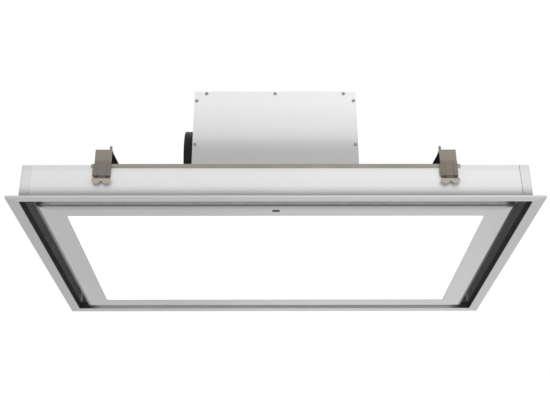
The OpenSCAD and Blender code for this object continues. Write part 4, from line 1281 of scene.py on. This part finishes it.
@dataclass
class Filters:
    """Three grease filters: alloy frames, pleated mesh under a wire lattice, sprung latches."""

    names: tuple[str, ...] = ("left", "middle", "right")
    step: float = 321.3333
    width: float = 278.333
    front: float = -255.3
    back: float = 267.8
    pleats: int = 18
    fold: float = 5.2
    low: float = 49.7
    wire: float = 0.42
    cross_wires: int = 126
    long_wires: int = 73
    rounding: float = 0.3

    def lattice(self, shop: NodeShop, name: str, centre: float) -> None:
        """Weaves the wires under one mesh.

        Args:
            shop: The tree that weaves them.
            name: Which filter.
            centre: Its middle along X in millimetres.
        """
        piece = points_piece(f"filter_wires_{name}", [(0, 0, 0)], [UP])
        place = (centre * MM, (self.front + self.back) / 2 * MM, self.low * MM)
        shop.run(
            piece, WIRE_ALLOY, Width=self.width * MM, Depth=(self.back - self.front) * MM,
            Fold=self.fold * MM, Pleats=self.pleats, Cross_Wires=self.cross_wires,
            Long_Wires=self.long_wires, Wire_Radius=self.wire * MM, Place=place,
        )
        settle(piece, "hood", "filter_alloy")

    def build(self) -> None:
        """Builds the frames, the meshes and the latches."""
        shop = lattice_shop()
        for k, name in enumerate(self.names):
            self.lattice(shop, name, (k - 1) * self.step)
            dress("filter_mesh_" + name, MESH_ALLOY)
            dress_sheets("filter_frame_" + name, self.rounding, FILTER_ALLOY, "filter_alloy")
            dress_sheets("filter_latch_" + name, self.rounding, BRIGHT_STEEL, "zinc_steel")


@dataclass
class LightPanel(SubAssembly):
    """The hinged panel: steel border, lit diffuser, sensor, tray, hinges and strikes."""

    sheets: SheetRows = (
        ("panel_frame", 0.45, PANEL_STEEL, "stainless"),
        ("light_tray", 0.45, TRAY_WHITE, "tray_white"),
        ("sensor_window", 0.45, DARK_WINDOW, "dark_window"),
        ("hinge_leaves strike_plates", 0.45, BRIGHT_STEEL, "zinc_steel"),
    )
    plain: PlainRows = (("diffuser", OPAL), ("led_boards", LED_BOARD), ("sensor_board", CIRCUIT))


@dataclass
class HingesAndCatches(SubAssembly):
    """The fixed brackets that carry the panel, with their pins and magnets."""

    sheets: SheetRows = (
        ("hinge_brackets catch_brackets", 0.3, DARK_STEEL, "zinc_steel"),
        ("catch_magnets", 0.3, MAGNET_PLASTIC, "black_plastic"),
    )
    plain: PlainRows = (("hinge_pins", BRIGHT_STEEL),)


@dataclass
class RubberBlock:
    """A dark block that stands in for shade on a clamp: Y reach outside and inside, two heights.
    """

    name: str
    finish: Finish
    ys: tuple[float, float]
    zs: tuple[float, float]
    flare: float = 0.0
    half_w: float = 17.1
    rounding: float = 0.4

    def build(self, clamp: str, middle: float) -> None:
        """Glues the block to a clamp.

        Args:
            clamp: The clamp's CAD node, which is also its body.
            middle: Distance of the clamp's middle from the hood's along X.
        """
        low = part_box(clamp)[0]
        side = -1 if low.y < 0 else 1
        shape = bmesh.new()
        for v in bmesh.ops.create_cube(shape, size=1.0)["verts"]:
            inner = v.co.y > 0
            reach = self.half_w + (self.flare if inner else 0.0)
            x = math.copysign(middle, low.x) + math.copysign(reach, v.co.x)
            v.co = Vector((x, side * self.ys[inner], self.zs[v.co.z > 0])) * MM
        bmesh.ops.recalc_face_normals(shape, faces=shape.faces)
        bmesh.ops.bevel(
            shape, geom=shape.edges[:], offset=self.rounding * MM, segments=2,
            affect="EDGES", profile=0.5,
        )
        piece = piece_from(f"{clamp}_{self.name}", shape, self.finish)
        settle(piece, BODY_OF[clamp], "black_plastic")


@dataclass
class CeilingClamps:
    """Four clamps that draw the hood against the ceiling board, on threaded bolts."""

    nodes: str = "clamp_front_left clamp_front_right clamp_back_left clamp_back_right"
    rounding: float = 0.6
    washer_rounding: float = 0.2
    bolt_x: float = 359.5
    bolt_y: float = 264.0
    head_z: float = 78.8
    tip_z: float = 167.0
    head_r: float = 6.0
    core_r: float = 2.55
    pitch: float = 1.25
    ridge: float = 0.42
    ends: tuple[float, float] = (9.0, 2.2)
    # The black block stands in for the deep shade under the clamp's top, the grey one for the
    # recess over its feet.
    blocks: tuple[RubberBlock, ...] = (
        RubberBlock("buffer", SHADE_BLACK_RUBBER, (333.6, 272.0), (114.2, 116.1), 5.5),
        RubberBlock("guide", SHADE_GREY_RUBBER, (334.1, 332.1), (46.0, 57.0)),
    )

    def bolts(self) -> None:
        """Turns the bolts' cores and heads and winds their threads between the plain ends."""
        places = both_ways((self.bolt_x, self.bolt_y, self.head_z))
        aims = [UP] * len(places)
        length = self.tip_z - self.head_z
        profile = [
            (0, 1.8), (2.4, 1.8), (2.6, 0), (self.head_r - 0.5, 0), (self.head_r, 0.5),
            (self.head_r, 3.6), (self.head_r - 0.4, 4.0), (self.core_r, 4.0),
            (self.core_r, length - 2), (1.5, length), (0, length),
        ]
        source = piece_from("bolt_source", lathe(profile, 24), SCREW_STEEL)
        cores = Copies(
            "clamp_bolt_cores", source, places, aims, SCREW_STEEL, seed=1, turn=0.0, sharp=35.0
        ).build()
        settle(cores, "hood", "zinc_steel", "clamp_bolts")
        low = self.head_z + self.ends[0]
        span = self.tip_z - self.ends[1] - low
        threads = points_piece("clamp_bolt_threads", [(x, y, low) for x, y, _ in places], aims)
        thread_shop().run(
            threads, SCREW_STEEL, Turns=span / self.pitch, Radius=(self.core_r + 0.02) * MM,
            Length=span * MM, Ridge=self.ridge * MM,
        )
        settle(threads, "hood", "zinc_steel")

    def build(self) -> None:
        """Builds the clamps with their rubber blocks, bolts and push-on washers."""
        for node in self.nodes.split():
            for block in self.blocks:
                block.build(node, self.bolt_x)
        dress_sheets(self.nodes, self.rounding, CLAMP_ZINC, "yellow_zinc")
        dress_sheets("bolt_retainers", self.washer_rounding, DARK_STEEL, "zinc_steel")
        self.bolts()


@dataclass
class MotorBox(SubAssembly):
    """The tall box over the casing, with a cross-recessed screw at every hole of its covers."""

    sheets: SheetRows = (
        ("box_shell box_front_cover box_back_cover", 0.45, BOX_ZINC, "galvanised"),
    )
    front_y: float = 168.0
    top_z: float = 365.0
    top_x: float = 163.0
    side_x: float = 186.0
    side_z: tuple[float, ...] = (345.0, 226.0, 112.0)

    def build(self) -> None:
        """Builds the shell, the covers and their screws."""
        super().build()
        spots = [(x, self.top_z) for x in (-self.top_x, 0.0, self.top_x)]
        spots += [(s * self.side_x, z) for s in (-1, 1) for z in self.side_z]
        places = [(x, side * self.front_y, z) for side in (-1, 1) for x, z in spots]
        aims = [(0, side, 0) for side in (-1, 1) for _ in spots]
        source = Fastener.COVER_SCREW.head()
        heads = Copies("cover_screw_heads", source, places, aims, SCREW_STEEL, seed=7).build()
        settle(heads, "hood", "zinc_steel", "cover_screws")


@dataclass
class DuctOutlet(SubAssembly):
    """The black duct collar with its two damper flaps."""

    sheets: SheetRows = (("outlet_collar", 0.5, BLACK_PLASTIC, "black_plastic"),)
    plain: PlainRows = (
        ("damper_flap_front damper_flap_back", FLAP_ALLOY), ("damper_pin", BRIGHT_STEEL),
    )


@dataclass
class Blower(SubAssembly):
    """The scroll, the bladed wheel and the motor inside the box."""

    plain: PlainRows = (
        ("scroll_wall scroll_front_plate scroll_back_plate scroll_feet", SCROLL_ZINC),
        ("impeller", WHEEL_STEEL), ("motor", MOTOR_CAST), ("capacitor", CAPACITOR_CAN),
        ("motor_shaft motor_bearings capacitor_clip", BRIGHT_STEEL),
        ("motor_bracket", DARK_STEEL),
    )


@dataclass
class ControlBox(SubAssembly):
    """The box with the light supply, its lid, board and cable gland."""

    sheets: SheetRows = (
        ("control_box control_lid", 0.35, LID_ZINC, "galvanised"),
        ("cable_gland", 0.35, GLAND_PLASTIC, "black_plastic"),
    )
    plain: PlainRows = (("control_board", CIRCUIT),)


@dataclass
class SmallFasteners:
    """Rivets and screws that hold sheets, lids and leaves: name, body, kind, aim and places."""

    rows: tuple[tuple[str, str, Fastener, Triple, tuple[Triple, ...]], ...] = (
        ("casing_top_rivets", "hood", Fastener.RIVET, UP,
         both_ways((450, 322, 84), (517, 80, 84), (517, 240, 84))),
        ("rail_rivets", "hood", Fastener.RIVET, UP,
         both_ways((0, 318, 85.5), (155, 318, 85.5), (305, 318, 85.5))),
        ("hanger_plate_rivets", "hood", Fastener.SMALL_RIVET, UP,
         both_ways((465, 265, 87), (495, 295, 87))),
        ("box_foot_screws", "hood", Fastener.SCREW, UP,
         both_ways((0, 175, 85.2), (150, 175, 85.2), (199, 0, 85.2), (199, 110, 85.2))),
        ("collar_screws", "hood", Fastener.SCREW, (-1, 0, 0),
         tuple((-194, y, z) for y in (-58, 58) for z in (214, 330))),
        ("lid_screws", "hood", Fastener.SCREW, UP,
         tuple((x, y, 123) for x in (245, 397) for y in (-51, 51))),
        ("bracket_rivets", "hood", Fastener.SMALL_RIVET, (0, 0, -1),
         left_right((370, 303, 47.6), (390, 303, 47.6))),
        ("leaf_rivets", "panel", Fastener.SMALL_RIVET, UP,
         left_right((370, 266, 23.2), (390, 266, 23.2))),
        ("tray_rivets", "panel", Fastener.SMALL_RIVET, UP,
         both_ways((0, 299, 22), (160, 299, 22), (320, 299, 22), (487, 90, 22), (487, 250, 22))),
    )
    first_seed: int = 20

    def build(self) -> None:
        """Sets every row with the tree that repeats parts."""
        for seed, (name, body, kind, aim, spots) in enumerate(self.rows, self.first_seed):
            aims = [aim] * len(spots)
            piece = Copies(name, kind.head(), spots, aims, BRIGHT_STEEL, seed).build()
            settle(piece, body, "zinc_steel")


# ---- studio


@dataclass
class Studio:
    """Pale floor under the hood, an even white sky, soft lamps and the photograph's camera.

    Its sizes are in metres. A lamp has a name, place, target, size and power.
    """

    floor_z: float = -2.6
    floor_half: float = 40.0
    sky: float = 0.75
    focal_px: float = 897.1
    image_w: float = 550.0
    sensor_w: float = 36.0
    pitch: float = 26.15
    yaw: float = 0.366
    roll: float = -0.198
    eye: Triple = (-0.0127, -1.9764, -0.8052)
    lamps: tuple[tuple[str, Triple, Triple, float, float], ...] = (
        ("key_lamp", (1.8, -2.6, 2.4), (0.0, 0.0, 0.1), 4.0, 10.4),
        ("low_lamp", (0.6, -2.5, -1.3), (0.0, 0.0, 0.0), 2.4, 15.8),
        ("far_lamp", (1.0, 4.2, -1.1), (0.1, 0.3, 0.0), 3.0, 6.0),
        ("rear_lamp", (-1.4, 2.6, 2.0), (0.0, 0.0, 0.1), 4.0, 9.0),
    )

    def camera(self) -> None:
        """Sets the camera where the photograph was taken from."""
        pitch, yaw, roll = (math.radians(a) for a in (self.pitch, self.yaw, self.roll))
        level = math.cos(pitch)
        ahead = Vector((math.sin(yaw) * level, math.cos(yaw) * level, math.sin(pitch)))
        right = Vector((math.cos(yaw), -math.sin(yaw), 0.0))
        up = right.cross(ahead)
        side = right * math.cos(roll) + up * math.sin(roll)
        top = up * math.cos(roll) - right * math.sin(roll)
        data = bpy.data.cameras.new("photo_camera")
        data.sensor_width = self.sensor_w
        data.lens = self.focal_px * self.sensor_w / self.image_w
        camera = bpy.data.objects.new("photo_camera", data)
        turn = Matrix((side, top, -ahead)).transposed().to_4x4()
        camera.matrix_world = Matrix.Translation(self.eye) @ turn
        bpy.context.scene.collection.objects.link(camera)
        bpy.context.scene.camera = camera

    def light(self) -> None:
        """Adds the soft lamps."""
        for name, place, target, size, power in self.lamps:
            data = bpy.data.lights.new(name, "AREA")
            data.shape = "DISK"
            data.size = size
            data.energy = power
            lamp = bpy.data.objects.new(name, data)
            lamp.location = place
            aim = Vector(target) - Vector(place)
            lamp.rotation_euler = aim.to_track_quat("-Z", "Y").to_euler()
            lamp.visible_camera = False
            bpy.context.scene.collection.objects.link(lamp)

    def sky_tree(self) -> None:
        """Gives the world an even light that looks white to the camera and to gloss."""
        world = bpy.data.worlds.new("studio")
        bpy.context.scene.world = world
        world.use_nodes = True
        tree = world.node_tree
        back = tree.nodes["Background"].inputs
        back["Color"].default_value = WHITE
        rays = add_node(tree, "ShaderNodeLightPath").outputs
        seen = rays["Is Camera Ray"]
        for label in ("Is Glossy Ray", "Is Transmission Ray"):
            most = add_node(tree, "ShaderNodeMath", {0: seen, 1: rays[label]}, operation="MAXIMUM")
            seen = most.outputs[0]
        shares = {0: seen, 1: 1.0 - self.sky, 2: self.sky}
        scale = add_node(tree, "ShaderNodeMath", shares, operation="MULTIPLY_ADD")
        plug(tree, back["Strength"], scale.outputs[0])

    def floor(self) -> None:
        """Lays the pale floor under the hood."""
        shape = bmesh.new()
        bmesh.ops.create_circle(shape, cap_ends=True, radius=self.floor_half, segments=96)
        bmesh.ops.translate(shape, verts=shape.verts, vec=(0, 0, self.floor_z))
        floor = piece_from("studio_floor", shape, FLOOR_WHITE)

    def build(self) -> None:
        """Sets the whole studio up."""
        bpy.context.scene.view_settings.view_transform = "Standard"
        self.camera()
        self.light()
        self.sky_tree()
        self.floor()


def main() -> None:
    """Builds the hood from its sub-assemblies."""
    logging.basicConfig(level=logging.INFO, format="%(message)s")
    for part in (
        Studio(), TrimFrame(), Casing(), Filters(), LightPanel(), HingesAndCatches(),
        CeilingClamps(), MotorBox(), DuctOutlet(), Blower(), ControlBox(), SmallFasteners(),
    ):
        LOG.info("building %s", type(part).__name__)
        part.build()


if __name__ == "__main__":
    main()
